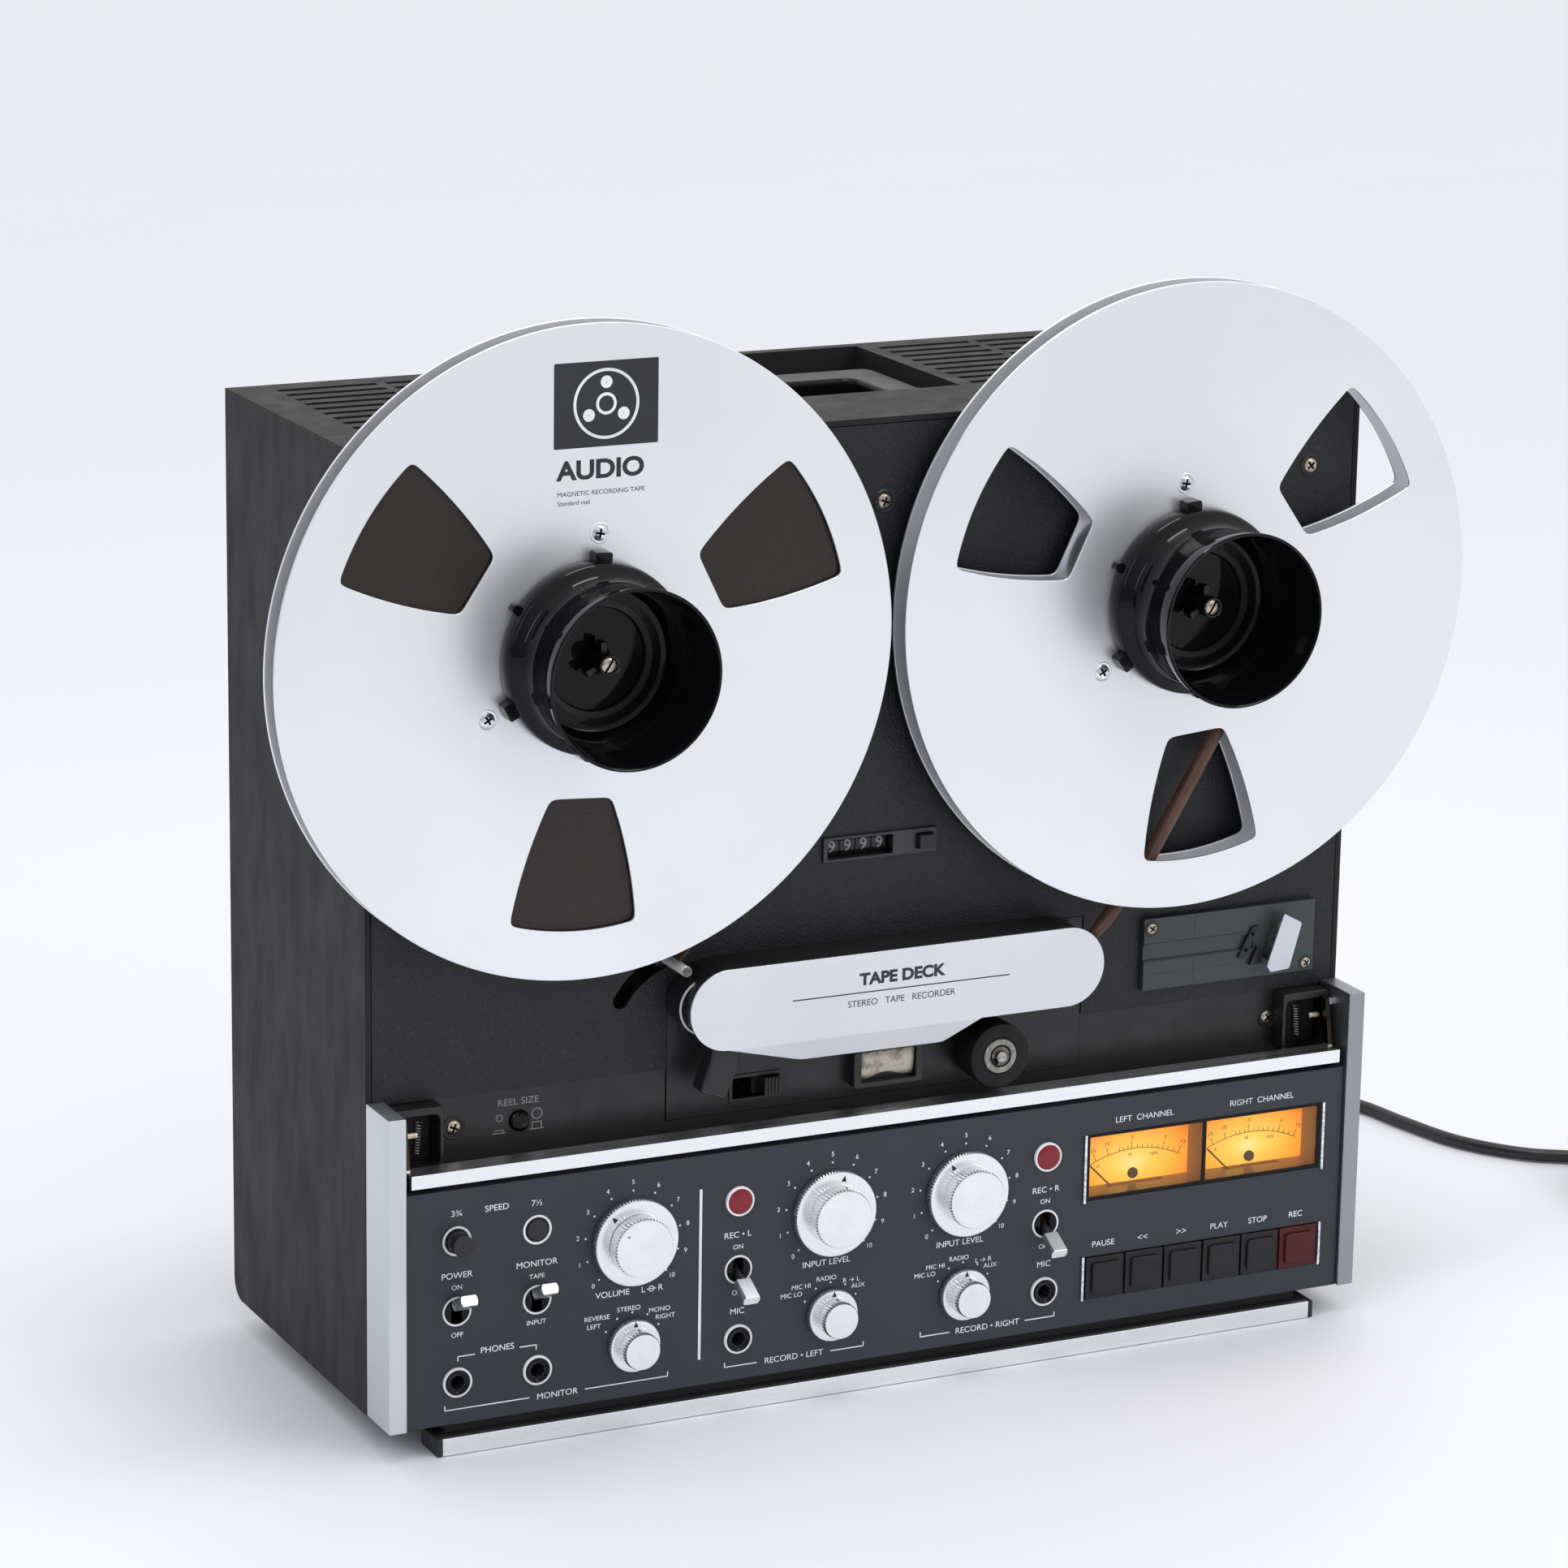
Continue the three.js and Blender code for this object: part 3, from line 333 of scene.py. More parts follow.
CABINET = cabinet_material()
DECK_PAINT = deck_material()
PANEL = panel_material()
LOWER = plastic("lower_deck_plastic", (0.0105, 0.0105, 0.0115), 0.42, 0.8)
BLACK = plastic("black_moulding", (0.0095, 0.0095, 0.011), 0.38)
KEY = plastic("key_moulding", (0.0095, 0.010, 0.0115), 0.40, 0.7, Specular_IOR_Level=0.35)
RECORD_KEY = plastic("record_key_moulding", (0.066, 0.006, 0.006), 0.40, 0.7, Specular_IOR_Level=0.3)
GLOSS = gloss("gloss_black_moulding", (0.0036, 0.0036, 0.0044), 0.07)
HANDLE = gloss("handle_moulding", (0.0036, 0.0036, 0.0042), 0.3, 0.12)
# Painted shade: a near-black colour for the insides of screw recesses and for the splicer's knife holes.
RECESS_SHADE = plastic("screw_recess_painted_shade", (0.004, 0.0036, 0.003), 0.7, 0.3, Specular_IOR_Level=0.1)
TYRE = plastic("roller_tyre", (0.006, 0.006, 0.0065), 0.5, 0.8, Specular_IOR_Level=0.25)
MATTE = plastic("matte_black", (0.010, 0.010, 0.011), 0.7)
RUBBER = plastic("rubber", (0.013, 0.013, 0.014), 0.62, 1.4)
CORD_JACKET = plastic("cord_jacket", (0.012, 0.012, 0.014), 0.42, 0.6)
TRIM = brushed("trim_aluminium", (0.64, 0.66, 0.70), 0.42, (60, 60, 0.9))
# Painted shade: the same trim aluminium at about half its brightness, for the right trim only.
PAINTED_SHADE_TRIM = brushed("trim_aluminium_painted_shade", (0.335, 0.343, 0.372), 0.42, (60, 60, 0.9))
BAR = brushed("bar_aluminium", (0.88, 0.89, 0.91), 0.30, (0.7, 55, 55), depth=0.003)
COVER_BAR = cover_bar_material()
COVER = brushed("cover_aluminium", (0.76, 0.77, 0.80), 0.38, (1.2, 60, 60), depth=0.006)
ROD = worn_metal("silver_rod", (0.85, 0.86, 0.88), 0.2)
NICKEL = worn_metal("nickel_screw", (0.56, 0.48, 0.39), 0.30)
ZINC = worn_metal("zinc_screw", (0.84, 0.86, 0.88), 0.26)
CHROME = worn_metal("chrome", (0.90, 0.91, 0.93), 0.12)
SATIN = brushed("satin_metal", (0.86, 0.87, 0.90), 0.30, (3, 3, 3), depth=0.0005)
# Painted highlight: a near-white, mostly diffuse base stands in for the bright reflections on the chrome
# guide pin and flange.
GUIDE_PAINTED_SHINE = brushed("guide_metal_painted_highlight", (0.98, 0.98, 0.98), 0.2, (3, 3, 3), 0.35, 0.0005)
STEEL = worn_metal("steel", (0.42, 0.41, 0.39), 0.34)
BEARING = worn_metal("bearing_ring", (0.30, 0.29, 0.265), 0.34)
DARK_STEEL = worn_metal("dark_steel", (0.16, 0.15, 0.14), 0.3)
SHIELD = shield_material()
SPLICE = brushed("splicer_plate", (0.055, 0.064, 0.064), 0.42, (1.5, 60, 60), 0.35)
WHITE_INK = plastic("white_ink", (0.82, 0.83, 0.84), 0.55, 0.3)
GREY_INK = plastic("grey_ink", (0.25, 0.25, 0.25), 0.6, 0.3)
DARK_INK = plastic("dark_ink", (0.018, 0.019, 0.022), 0.5, 0.3)
DIAL_INK = plastic("dial_ink", (0.055, 0.012, 0.001), 0.5, 0.3)
DIGIT_INK = plastic("digit_ink", (0.66, 0.67, 0.66), 0.6, 0.3)
LAMP = glowing("record_lamp", (0.13, 0.003, 0.008), 0.22, (0.55, 0.004, 0.012), 0.14)
DIAL_GLOW_WALL = wall_material()
FRAME_GREY = plastic("counter_frame", (0.030, 0.030, 0.033), 0.36, 0.8)
DRUM = plastic("counter_drum", (0.026, 0.026, 0.029), 0.45, 0.5)

# ---------------------------------------------------------------------------
# Mesh helpers
# ---------------------------------------------------------------------------

SHARP, FLAT_SHARP = math.radians(32), math.radians(8)
CAPITAL = 0.73      # a capital's height as a share of the font's size
INK = 0.05          # how far printing stands proud


def piece(name, mesh, shader, body, replaces=(), sharp=SHARP):
    """A finished piece that rides on a body. Without a shader its mesh keeps its own materials."""
    obj = add_object(name, mesh)
    if shader is not None:
        mesh.materials.clear()
        mesh.materials.append(shader.material)
    mesh.polygons.foreach_set("use_smooth", [True] * len(mesh.polygons))
    mesh.set_sharp_from_angle(angle=sharp)
    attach(obj, body)
    if replaces:
        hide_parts(*replaces)
    return obj


def to_mesh(bm, name):
    bmesh.ops.recalc_face_normals(bm, faces=bm.faces)
    mesh = bpy.data.meshes.new(name)
    bm.to_mesh(mesh)
    bm.free()
    return mesh


def add_lathe(bm, profile, segments, x, z, ripple=None):
    """Adds profile points (radius, y), turned about the line along Y through x, z."""
    rings = []
    for radius, y in profile:
        if radius <= 0:
            rings.append([bm.verts.new(at(x, y, z))])
            continue
        ring = []
        for step in range(segments):
            angle = 2 * math.pi * step / segments
            r = radius + (ripple(angle, radius) if ripple else 0)
            ring.append(bm.verts.new(at(x + r * math.cos(angle), y, z + r * math.sin(angle))))
        rings.append(ring)
    for first, second in zip(rings, rings[1:]):
        for step in range(segments):
            after = (step + 1) % segments
            corners = [first[step % len(first)], first[after % len(first)]]
            corners += [second[after % len(second)], second[step % len(second)]]
            unique = list(dict.fromkeys(corners))
            if len(unique) > 2:
                bm.faces.new(unique)


def lathe(name, profile, shader, body, x, z, segments=96, replaces=(), ripple=None):
    bm = bmesh.new()
    add_lathe(bm, profile, segments, x, z, ripple)
    bmesh.ops.remove_doubles(bm, verts=bm.verts, dist=1e-7)
    return piece(name, to_mesh(bm, name), shader, body, replaces)


def add_skin(bm, rows, closed):
    """Adds faces between neighbouring rows of vertices. A closed row's end meets its start."""
    for first, second in zip(rows, rows[1:]):
        count = len(first)
        for step in range(count if closed else count - 1):
            after = (step + 1) % count
            bm.faces.new([first[step], first[after], second[after], second[step]])


def take_mesh(*holders):
    """The first object's finished mesh. All of the objects are dropped."""
    graph = bpy.context.evaluated_depsgraph_get()
    mesh = bpy.data.meshes.new_from_object(holders[0].evaluated_get(graph))
    for holder in holders:
        bpy.data.objects.remove(holder)
    return mesh


# A curve's own X, Y and Z become the deck's X, Z and -Y.
UPRIGHT = Matrix(((1, 0, 0, 0), (0, 0, -1, 0), (0, 1, 0, 0), (0, 0, 0, 1)))


def plate_mesh(loops, front, rear, bevel=0.2, bevel_steps=2):
    """A flat plate from front to rear with rounded edges. The first loop is its outline."""
    curve = bpy.data.curves.new("plate", "CURVE")
    curve.dimensions = "2D"
    curve.fill_mode = "BOTH"
    for loop in loops:
        spline = curve.splines.new("POLY")
        spline.points.add(len(loop) - 1)
        for point, (x, z) in zip(spline.points, loop):
            point.co = (x * MM, z * MM, 0, 1)
        spline.use_cyclic_u = True
    curve.extrude = ((rear - front) / 2 - bevel) * MM
    curve.bevel_depth = bevel * MM
    curve.bevel_resolution = bevel_steps
    curve.offset = -bevel * MM
    mesh = take_mesh(add_object("scratch", curve))
    mesh.transform(Matrix.Translation(at(0, (front + rear) / 2, 0)) @ UPRIGHT)
    bm = bmesh.new()
    bm.from_mesh(mesh)
    bmesh.ops.remove_doubles(bm, verts=bm.verts, dist=2e-6)
    return to_mesh(bm, "plate")


def plate(name, loops, front, rear, shader, body, replaces=(), bevel=0.2, bevel_steps=2):
    mesh = plate_mesh(loops, front, rear, bevel, bevel_steps)
    return piece(name, mesh, shader, body, replaces, FLAT_SHARP)


def polar(radius, degrees, x, z):
    return (x + radius * math.cos(math.radians(degrees)), z + radius * math.sin(math.radians(degrees)))


def turned(outline, degrees, x, z):
    """An outline round the origin, turned and then moved to x, z."""
    c, s = math.cos(math.radians(degrees)), math.sin(math.radians(degrees))
    return [(x + px * c - pz * s, z + px * s + pz * c) for px, pz in outline]


def circle(radius, x=0.0, z=0.0, steps=96):
    turn = 2 * math.pi / steps
    return [(x + radius * math.cos(k * turn), z + radius * math.sin(k * turn)) for k in range(steps)]


def rounded(corners, radius, steps=5):
    """The outline of a polygon with its corners rounded."""
    points = []
    for index, corner in enumerate(corners):
        here = Vector(corner)
        before, after = Vector(corners[index - 1]), Vector(corners[(index + 1) % len(corners)])
        start = here + (before - here).normalized() * min(radius, (before - here).length / 2.1)
        end = here + (after - here).normalized() * min(radius, (after - here).length / 2.1)
        for step in range(steps + 1):
            t = step / steps
            points.append(tuple(start * (1 - t) ** 2 + here * 2 * t * (1 - t) + end * t ** 2))
    return points


def rectangle(left, right, bottom, top, radius=0.0):
    corners = [(left, bottom), (right, bottom), (right, top), (left, top)]
    return rounded(corners, radius) if radius else corners


def block(name, xs, ys, zs, shader, body, replaces=(), bevel=0.3, steps=2):
    """A box with rounded edges."""
    bm = bmesh.new()
    made = bmesh.ops.create_cube(bm, size=1)
    lo, hi = at(xs[0], ys[0], zs[0]), at(xs[1], ys[1], zs[1])
    for vertex in made["verts"]:
        vertex.co = Vector((lo[k] if vertex.co[k] < 0 else hi[k]) for k in range(3))
    bmesh.ops.bevel(bm, geom=bm.edges[:], offset=bevel * MM, segments=steps, profile=0.5, affect="EDGES")
    return piece(name, to_mesh(bm, name), shader, body, replaces, FLAT_SHARP)


def tube_curve(name, points, radius, resolution):
    """A round tube along points in deck millimetres, as a curve."""
    curve = bpy.data.curves.new(name, "CURVE")
    curve.dimensions = "3D"
    spline = curve.splines.new("POLY")
    spline.points.add(len(points) - 1)
    for point, place in zip(spline.points, points):
        point.co = (*at(*place), 1)
    curve.bevel_depth = radius * MM
    curve.bevel_resolution = resolution
    curve.use_fill_caps = True
    return curve


def wire(name, points, radius, shader, body, resolution=4):
    curve = tube_curve(name, points, radius, resolution)
    return piece(name, take_mesh(add_object("scratch", curve)), shader, body)


def merged(name, meshes, shader, body, replaces=()):
    bm = bmesh.new()
    for mesh in meshes:
        bm.from_mesh(mesh)
    return piece(name, to_mesh(bm, name), shader, body, replaces, FLAT_SHARP)


def text_mesh(words, x, z, size, y, align="CENTER", angle=0.0, stretch=1.0, bold=0.0):
    """Flat raised letters on the plane y, centred on x, z. size is the capital height."""
    curve = bpy.data.curves.new("text", "FONT")
    curve.body = words
    curve.size = size * MM / CAPITAL
    curve.align_x = align
    curve.align_y = "CENTER"
    curve.extrude = INK * MM / 2
    curve.offset = bold * MM
    mesh = take_mesh(add_object("scratch", curve))
    scale = Matrix.Diagonal((stretch, 1, 1, 1))
    spin = Matrix.Rotation(math.radians(angle), 4, "Z")
    mesh.transform(Matrix.Translation(at(x, y - INK / 2, z)) @ UPRIGHT @ spin @ scale)
    return mesh


def line_mesh(x0, z0, x1, z1, width, y, depth=INK):
    start, end = Vector((x0, z0)), Vector((x1, z1))
    along = (end - start).normalized()
    across = Vector((-along.y, along.x)) * width / 2
    corners = [start - across, end - across, end + across, start + across]
    return plate_mesh([[tuple(c) for c in corners]], y - depth, y, 0.0)


def ring_mesh(inner, outer, x, z, y, depth=INK, bevel=0.0):
    return plate_mesh([circle(outer, x, z, 64), circle(inner, x, z, 64)], y - depth, y, bevel)


def thicken(obj, thickness, offset):
    """Gives an open sheet its thickness: half on each side at an offset of 0, all behind it at -1."""
    modifier = obj.modifiers.new("thickness", "SOLIDIFY")
    modifier.thickness = thickness * MM
    modifier.offset = offset


def dress(node, shader, bevel=0.0):
    """Gives a CAD node its material and, if asked, rounded edges."""
    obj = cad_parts[node]
    obj.data.materials.clear()
    obj.data.materials.append(shader.material)
    if bevel:
        modifier = obj.modifiers.new("edges", "BEVEL")
        modifier.width = bevel * MM
        modifier.segments = 2
        modifier.limit_method = "ANGLE"
        modifier.angle_limit = math.radians(40)
        modifier.harden_normals = True


# ---------------------------------------------------------------------------
# Mains cord
# ---------------------------------------------------------------------------

CORD_RADIUS, CORD_LAY = 3.0, 3.3
CORD_EXIT = (185, 160.3, 50)
CORD_ROUTE = [
    CORD_EXIT, (185, 184, 48), (192, 212, 34), (210, 240, 14.5), (226, 252, 6.6), (246, 262.5, 3.8),
    (288, 272, 3.4), (330, 264, CORD_LAY), (362, 240, CORD_LAY), (376, 210, CORD_LAY),
    (381.5, 180.4, CORD_LAY), (390.8, 144.5, CORD_LAY), (409.8, 117.4, CORD_LAY),
    (425.9, 106.3, CORD_LAY), (446.1, 93.1, CORD_LAY),
]
COIL_X, COIL_Y = 444.0, 51.0
COIL_INNER, COIL_OUTER, COIL_PITCH, COIL_TURNS = 29.7, 36.2, 6.25, 7
COIL_ENTRY, COIL_EXIT, EXIT_HEIGHT = math.radians(56), 0.0, 9.7
PLUG_X, PLUG_NECK, PLUG_MIDDLE = 480.2, 27.0, 7.0
RELIEF_LENGTH, RELIEF_DROOP = 23.7, 2.0


def centripetal(points, steps):
    """A Catmull-Rom curve through the points, with as many steps between each two."""
    points = [Vector(p) for p in points]
    padded = [points[0] * 2 - points[1], *points, points[-1] * 2 - points[-2]]
    path = []
    for a, b, c, d in zip(padded, padded[1:], padded[2:], padded[3:]):
        t0 = 0.0
        t1 = t0 + math.sqrt((b - a).length)
        t2 = t1 + math.sqrt((c - b).length)
        t3 = t2 + math.sqrt((d - c).length)
        for step in range(steps):
            t = t1 + (t2 - t1) * step / steps
            ab = a * (t1 - t) / (t1 - t0) + b * (t - t0) / (t1 - t0)
            bc = b * (t2 - t) / (t2 - t1) + c * (t - t1) / (t2 - t1)
            cd = c * (t3 - t) / (t3 - t2) + d * (t - t2) / (t3 - t2)
            abc = ab * (t2 - t) / (t2 - t0) + bc * (t - t0) / (t2 - t0)
            bcd = bc * (t3 - t) / (t3 - t1) + cd * (t - t1) / (t3 - t1)
            path.append(abc * (t2 - t) / (t2 - t1) + bcd * (t - t1) / (t2 - t1))
    path.append(points[-1])
    return path


def ease(t):
    t = max(0.0, min(1.0, t))
    return t * t * (3 - 2 * t)


def coil_points():
    """In along the floor, up the inner column, out, and down the outer column to the plug."""
    half, full = math.pi, 2 * math.pi
    last_part = COIL_ENTRY - COIL_EXIT
    inner_turns = COIL_TURNS // 2 + last_part / full / 2 + 0.25
    climb = COIL_PITCH * inner_turns
    total = full * COIL_TURNS + last_part
    inner_end = half + inner_turns * full
    outer_start = inner_end + half
    highest = CORD_LAY + climb + COIL_PITCH / 2
    points = []
    steps = int(total / full * 48)
    for step in range(steps + 1):
        phi = total * step / steps
        if phi < half:
            radius = COIL_OUTER - (COIL_OUTER - COIL_INNER) * ease(phi / half)
            z = CORD_LAY
        elif phi < inner_end:
            radius = COIL_INNER
            z = CORD_LAY + climb * (phi - half) / (inner_end - half)
        elif phi < outer_start:
            share = (phi - inner_end) / half
            radius = COIL_INNER + (COIL_OUTER - COIL_INNER) * ease(share)
            z = CORD_LAY + climb + COIL_PITCH / 2 * share
        else:
            radius = COIL_OUTER
            z = highest - (highest - EXIT_HEIGHT) * (phi - outer_start) / (total - outer_start)
        x, y = polar(radius, math.degrees(COIL_ENTRY - phi), COIL_X, COIL_Y)
        points.append(Vector((x, y, z)))
    return points


def even(points, spacing):
    """The same path with points an even distance apart."""
    lengths = [0.0]
    for a, b in zip(points, points[1:]):
        lengths.append(lengths[-1] + (b - a).length)
    count = max(2, round(lengths[-1] / spacing))
    result, index = [], 0
    for step in range(count + 1):
        goal = lengths[-1] * step / count
        while index < len(points) - 2 and lengths[index + 1] < goal:
            index += 1
        span = lengths[index + 1] - lengths[index]
        share = (goal - lengths[index]) / span if span else 0
        result.append(points[index].lerp(points[index + 1], share))
    return result, lengths[-1]


def cord_path():
    coil = coil_points()
    tail = [Vector((PLUG_X, PLUG_NECK + 12, EXIT_HEIGHT - 1.1)), Vector((PLUG_X, PLUG_NECK, PLUG_MIDDLE))]
    bends = centripetal([*CORD_ROUTE, *coil[::8], *tail], 8)
    return even(bends, 3.0)


def plug():
    """A moulded plug with a waisted grip and two pins."""
    lo, hi = deck_box("power_plug")
    middle = (lo.z + hi.z) / 2
    sections = [
        (-15.0, 17.3, 6.8), (-14.2, 17.5, 7.0), (-8, 17.2, 7.0), (-2, 14.8, 6.7), (4, 12.6, 6.4),
        (8.4, 8.2, 5.6), (9.0, 5.0, 4.8), (12, 4.5, 4.5), (20, 4.1, 4.1), (26.6, 3.7, 3.7), (27, 3.4, 3.4),
    ]
    bm = bmesh.new()
    rings = []
    for y, half_width, half_height in sections:
        ring = []
        for step in range(32):
            c, s = polar(1, 360 * step / 32, 0, 0)
            x = PLUG_X + half_width * math.copysign(abs(c) ** 0.55, c)
            z = middle + half_height * math.copysign(abs(s) ** 0.55, s)
            ring.append(bm.verts.new(at(x, y, z)))
        rings.append(ring)
    add_skin(bm, rings, True)
    bm.faces.new(rings[0])
    bm.faces.new(rings[-1])
    pieces = [piece("plug_body", to_mesh(bm, "plug_body"), RUBBER, "deck", ["power_plug"])]
    pin = [(0, -34), (1.3, -34), (2, -33), (2, -24), (2, -14.8), (0, -14.8)]
    for index, offset in enumerate((-9.5, 9.5)):
        pieces.append(lathe(f"plug_pin_{index}", pin, CHROME, "deck", PLUG_X + offset, middle, 24))
    return pieces


def strain_relief():
    """A ribbed sleeve at the rear gland that droops with the cord."""
    gland_x, gland_y, gland_z = CORD_EXIT
    profile = [(3.05, 160.2), (6.6, 160.2), (6.6, 162)]
    for rib in range(7):
        y, radius = 163.4 + rib * 2.6, 6.2 - rib * 0.36
        profile += [(radius - 0.9, y - 0.9), (radius - 0.9, y), (radius, y + 0.3), (radius, y + 1.4)]
    profile += [(3.6, 182.5), (3.05, 182.5)]
    relief = lathe("strain_relief", [*profile, profile[0]], RUBBER, "deck", gland_x, gland_z, 32)
    for vertex in relief.data.vertices:
        share = max(0.0, ((vertex.co.y - FACE_Y) / MM - gland_y) / RELIEF_LENGTH)
        vertex.co.z -= RELIEF_DROOP * share ** 1.6 * MM
    return relief


def mains_cord():
    points, length = cord_path()
    curve = tube_curve("mains_cord", points, CORD_RADIUS, 3)
    curve.materials.append(CORD_JACKET.material)
    cord = add_object("mains_cord", curve)
    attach(cord, "deck")
    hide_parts("power_cord", "cord_coil")
    plug()
    strain_relief()


mains_cord()

# ---------------------------------------------------------------------------
# Screws
# ---------------------------------------------------------------------------


def cut(mesh, cutter):
    """One closed mesh less another. Both carry the same two materials, the second on the cut's faces."""
    whole, tool = add_object("scratch", mesh), add_object("scratch", cutter)
    modifier = whole.modifiers.new("cut", "BOOLEAN")
    modifier.operation, modifier.solver, modifier.object = "DIFFERENCE", "EXACT", tool
    return take_mesh(whole, tool)


def screw_mesh(radius, height, shader, slot=False):
    """A domed screw head with a cross or a slot cut into it, on the origin, facing -Y."""
    dome = [
        (radius * math.sin(math.radians(tilt)), -height * math.cos(math.radians(tilt)))
        for tilt in (0, 15, 30, 45, 60, 72, 82)
    ]
    bm = bmesh.new()
    add_lathe(bm, [*dome, (radius, 0), (0, 0.02)], 40, 0, 0)
    head = to_mesh(bm, "screw")
    arm, reach = 0.15 * radius, 0.66 * radius
    if slot:
        outline = rectangle(-arm, arm, -1.2 * radius, 1.2 * radius)
    else:
        quarter = [(arm, reach), (arm, arm), (reach, arm)]
        corners = [((x, z), (z, -x), (-x, -z), (-z, x)) for x, z in quarter]
        outline = [corner[turn] for turn in range(4) for corner in corners]
    recess = plate_mesh([outline], -2 * height, -0.3 * height, 0.0)
    # The cut's faces take the near-black recess colour, which is painted shade inside the cross or slot.
    for mesh in (head, recess):
        mesh.materials.append(shader.material)
        mesh.materials.append(RECESS_SHADE.material)
    recess.polygons.foreach_set("material_index", [1] * len(recess.polygons))
    mesh = cut(head, recess)
    mesh.transform(Matrix.Translation(-at(0, 0, 0)))
    return mesh


def screw(name, x, y, z, radius, height, shader, body, angle=25, slot=False):
    mesh = screw_mesh(radius, height, shader, slot)
    mesh.transform(Matrix.Translation(at(x, y, z)) @ Matrix.Rotation(math.radians(angle), 4, "Y"))
    return piece(name, mesh, None, body)


def cup(name, x, y, z, radius, shader, body):
    profile = [
        (0, y - 0.06), (radius * 0.74, y - 0.06), (radius * 0.80, y - 0.42), (radius * 0.93, y - 0.5),
        (radius, y - 0.1), (radius, y + 0.05), (0, y + 0.05),
    ]
    return lathe(name, profile, shader, body, x, z, 48)


DECK_SCREWS = [(1.2, 373.8, 0), (202.7, 373.8, 0), (-202.7, 373.8, 0)]
LOWER_SCREWS = [(-187.6, 129.9, 1.0), (192.9, 130.8, 1.0)]
for index, (x, z, y) in enumerate(DECK_SCREWS + LOWER_SCREWS):
    cup(f"deck_screw_cup_{index}", x, y, z, 5.0, BLACK, "deck")
    screw(f"deck_screw_{index}", x, y - 0.06, z, 3.1, 1.0, NICKEL, "deck", 20 + 31 * index)

# ---------------------------------------------------------------------------
# Cabinet, deck panels and everything behind them
# ---------------------------------------------------------------------------

for node, shader, bevel in (
    ("cabinet_shell", CABINET, 0.9), ("rear_panel", BLACK, 0.5), ("deck_panel", DECK_PAINT, 0.4),
    ("lower_deck_panel", LOWER, 0.3), ("head_assembly", CHROME, 0.3), ("head_block_base", BLACK, 0.25),
    ("chassis_frame", STEEL, 0), ("left_reel_motor", STEEL, 0), ("right_reel_motor", STEEL, 0),
    ("capstan_motor", STEEL, 0), ("pinch_roller_arm", STEEL, 0), ("capstan_rotor", CHROME, 0),
    ("counter_drums", DRUM, 0),
):
    dress(node, shader, bevel)


def rear_panel_details():
    """Corner screws, two fields of vent ribs, a socket plate and the rear feet's pads."""
    for index, (x, z) in enumerate([(-212, 392), (212, 392), (-212, 34), (212, 34), (0, 392), (0, 34)]):
        mesh = screw_mesh(3.2, 1.2, NICKEL)
        mesh.transform(Matrix.Translation(at(x, 154, z)) @ Matrix.Rotation(math.pi, 4, "Z"))
        piece(f"rear_screw_{index}", mesh, None, "deck")
    ribs = []
    for z in range(240, 348, 12):
        for left in (-150, 10):
            ribs.append(plate_mesh([rectangle(left, left + 140, z, z + 4, 2)], 153.9, 154.5, 0.1))
    merged("rear_vent_ribs", ribs, BLACK, "deck")
    block("rear_socket_plate", (-60, 100), (153.8, 155.2), (60, 110), SPLICE, "deck", bevel=0.4)
    profile = [(0, 156), (2.2, 156), (2.2, 160), (4.1, 160), (4.1, 155), (0, 155)]
    sockets = []
    for column in range(4):
        for row in range(2):
            bm = bmesh.new()
            add_lathe(bm, profile, 24, -40 + column * 22, 74 + row * 22)
            sockets.append(to_mesh(bm, "socket"))
    merged("rear_sockets", sockets, CHROME, "deck")
    for tag, x in (("left", -190), ("right", 190)):
        xs = (x - 13.6, x + 13.6)
        block(f"rear_foot_pad_{tag}", xs, (122.4, 138.6), (0, 3), RUBBER, "deck", bevel=0.6)


rear_panel_details()


def handle():
    """The folded carrying handle: a bail with soft edges that lies flat on its two pins."""
    corners = [(-54, 56), (-36, 56), (-36, 101), (36, 101), (36, 56), (54, 56), (54, 121), (-54, 121)]
    pin_y, pin_z = 62, 400.2
    mesh = plate_mesh([rounded(corners, 7)], -4.3, 4.3, 2.2, 4)
    lay_flat = Matrix(((1, 0, 0, 0), (0, 0, 1, 0), (0, 1, 0, 0), (0, 0, 0, 1)))
    mesh.transform(Matrix.Translation(at(0, 0, pin_z + 0.1)) @ lay_flat @ Matrix.Translation(-at(0, 0, 0)))
    merged("handle_bail", [mesh], HANDLE, "handle", ["carrying_handle"])
    for index, sign in enumerate((-1, 1)):
        ends = [(sign * 50, pin_y, pin_z), (sign * 60.8, pin_y, pin_z)]
        wire(f"handle_pin_{index}", ends, 2.9, STEEL, "handle")


handle()

# ---------------------------------------------------------------------------
# Reels, tape, hub adaptors and spindles
# ---------------------------------------------------------------------------

REEL_RADIUS, REEL_BORE, REEL_HUB, FLANGE = 133.35, 38.1, 57.15, 1.3
FLANGE_FRONT, FLANGE_BACK = -17.5, -5.2
WINDOW_INNER, WINDOW_OUTER, WINDOW_IN_HALF, WINDOW_OUT_HALF = 59.7, 113.0, 12.8, 14.1
FLANK_BOW = 1.9
SPOOLS = {
    "left": {"turn": -3.7, "screws": (86, 206.6, 326)},
    "right": {"turn": 4.8, "screws": (95, 214, 335)},
}


def soften(points, rounds):
    """Rounds a closed outline's corners a little by moving each point towards its neighbours."""
    for _ in range(rounds):
        count = len(points)
        points = [
            (points[k - 1] + points[k] * 2 + points[(k + 1) % count]) / 4 for k in range(count)
        ]
    return points


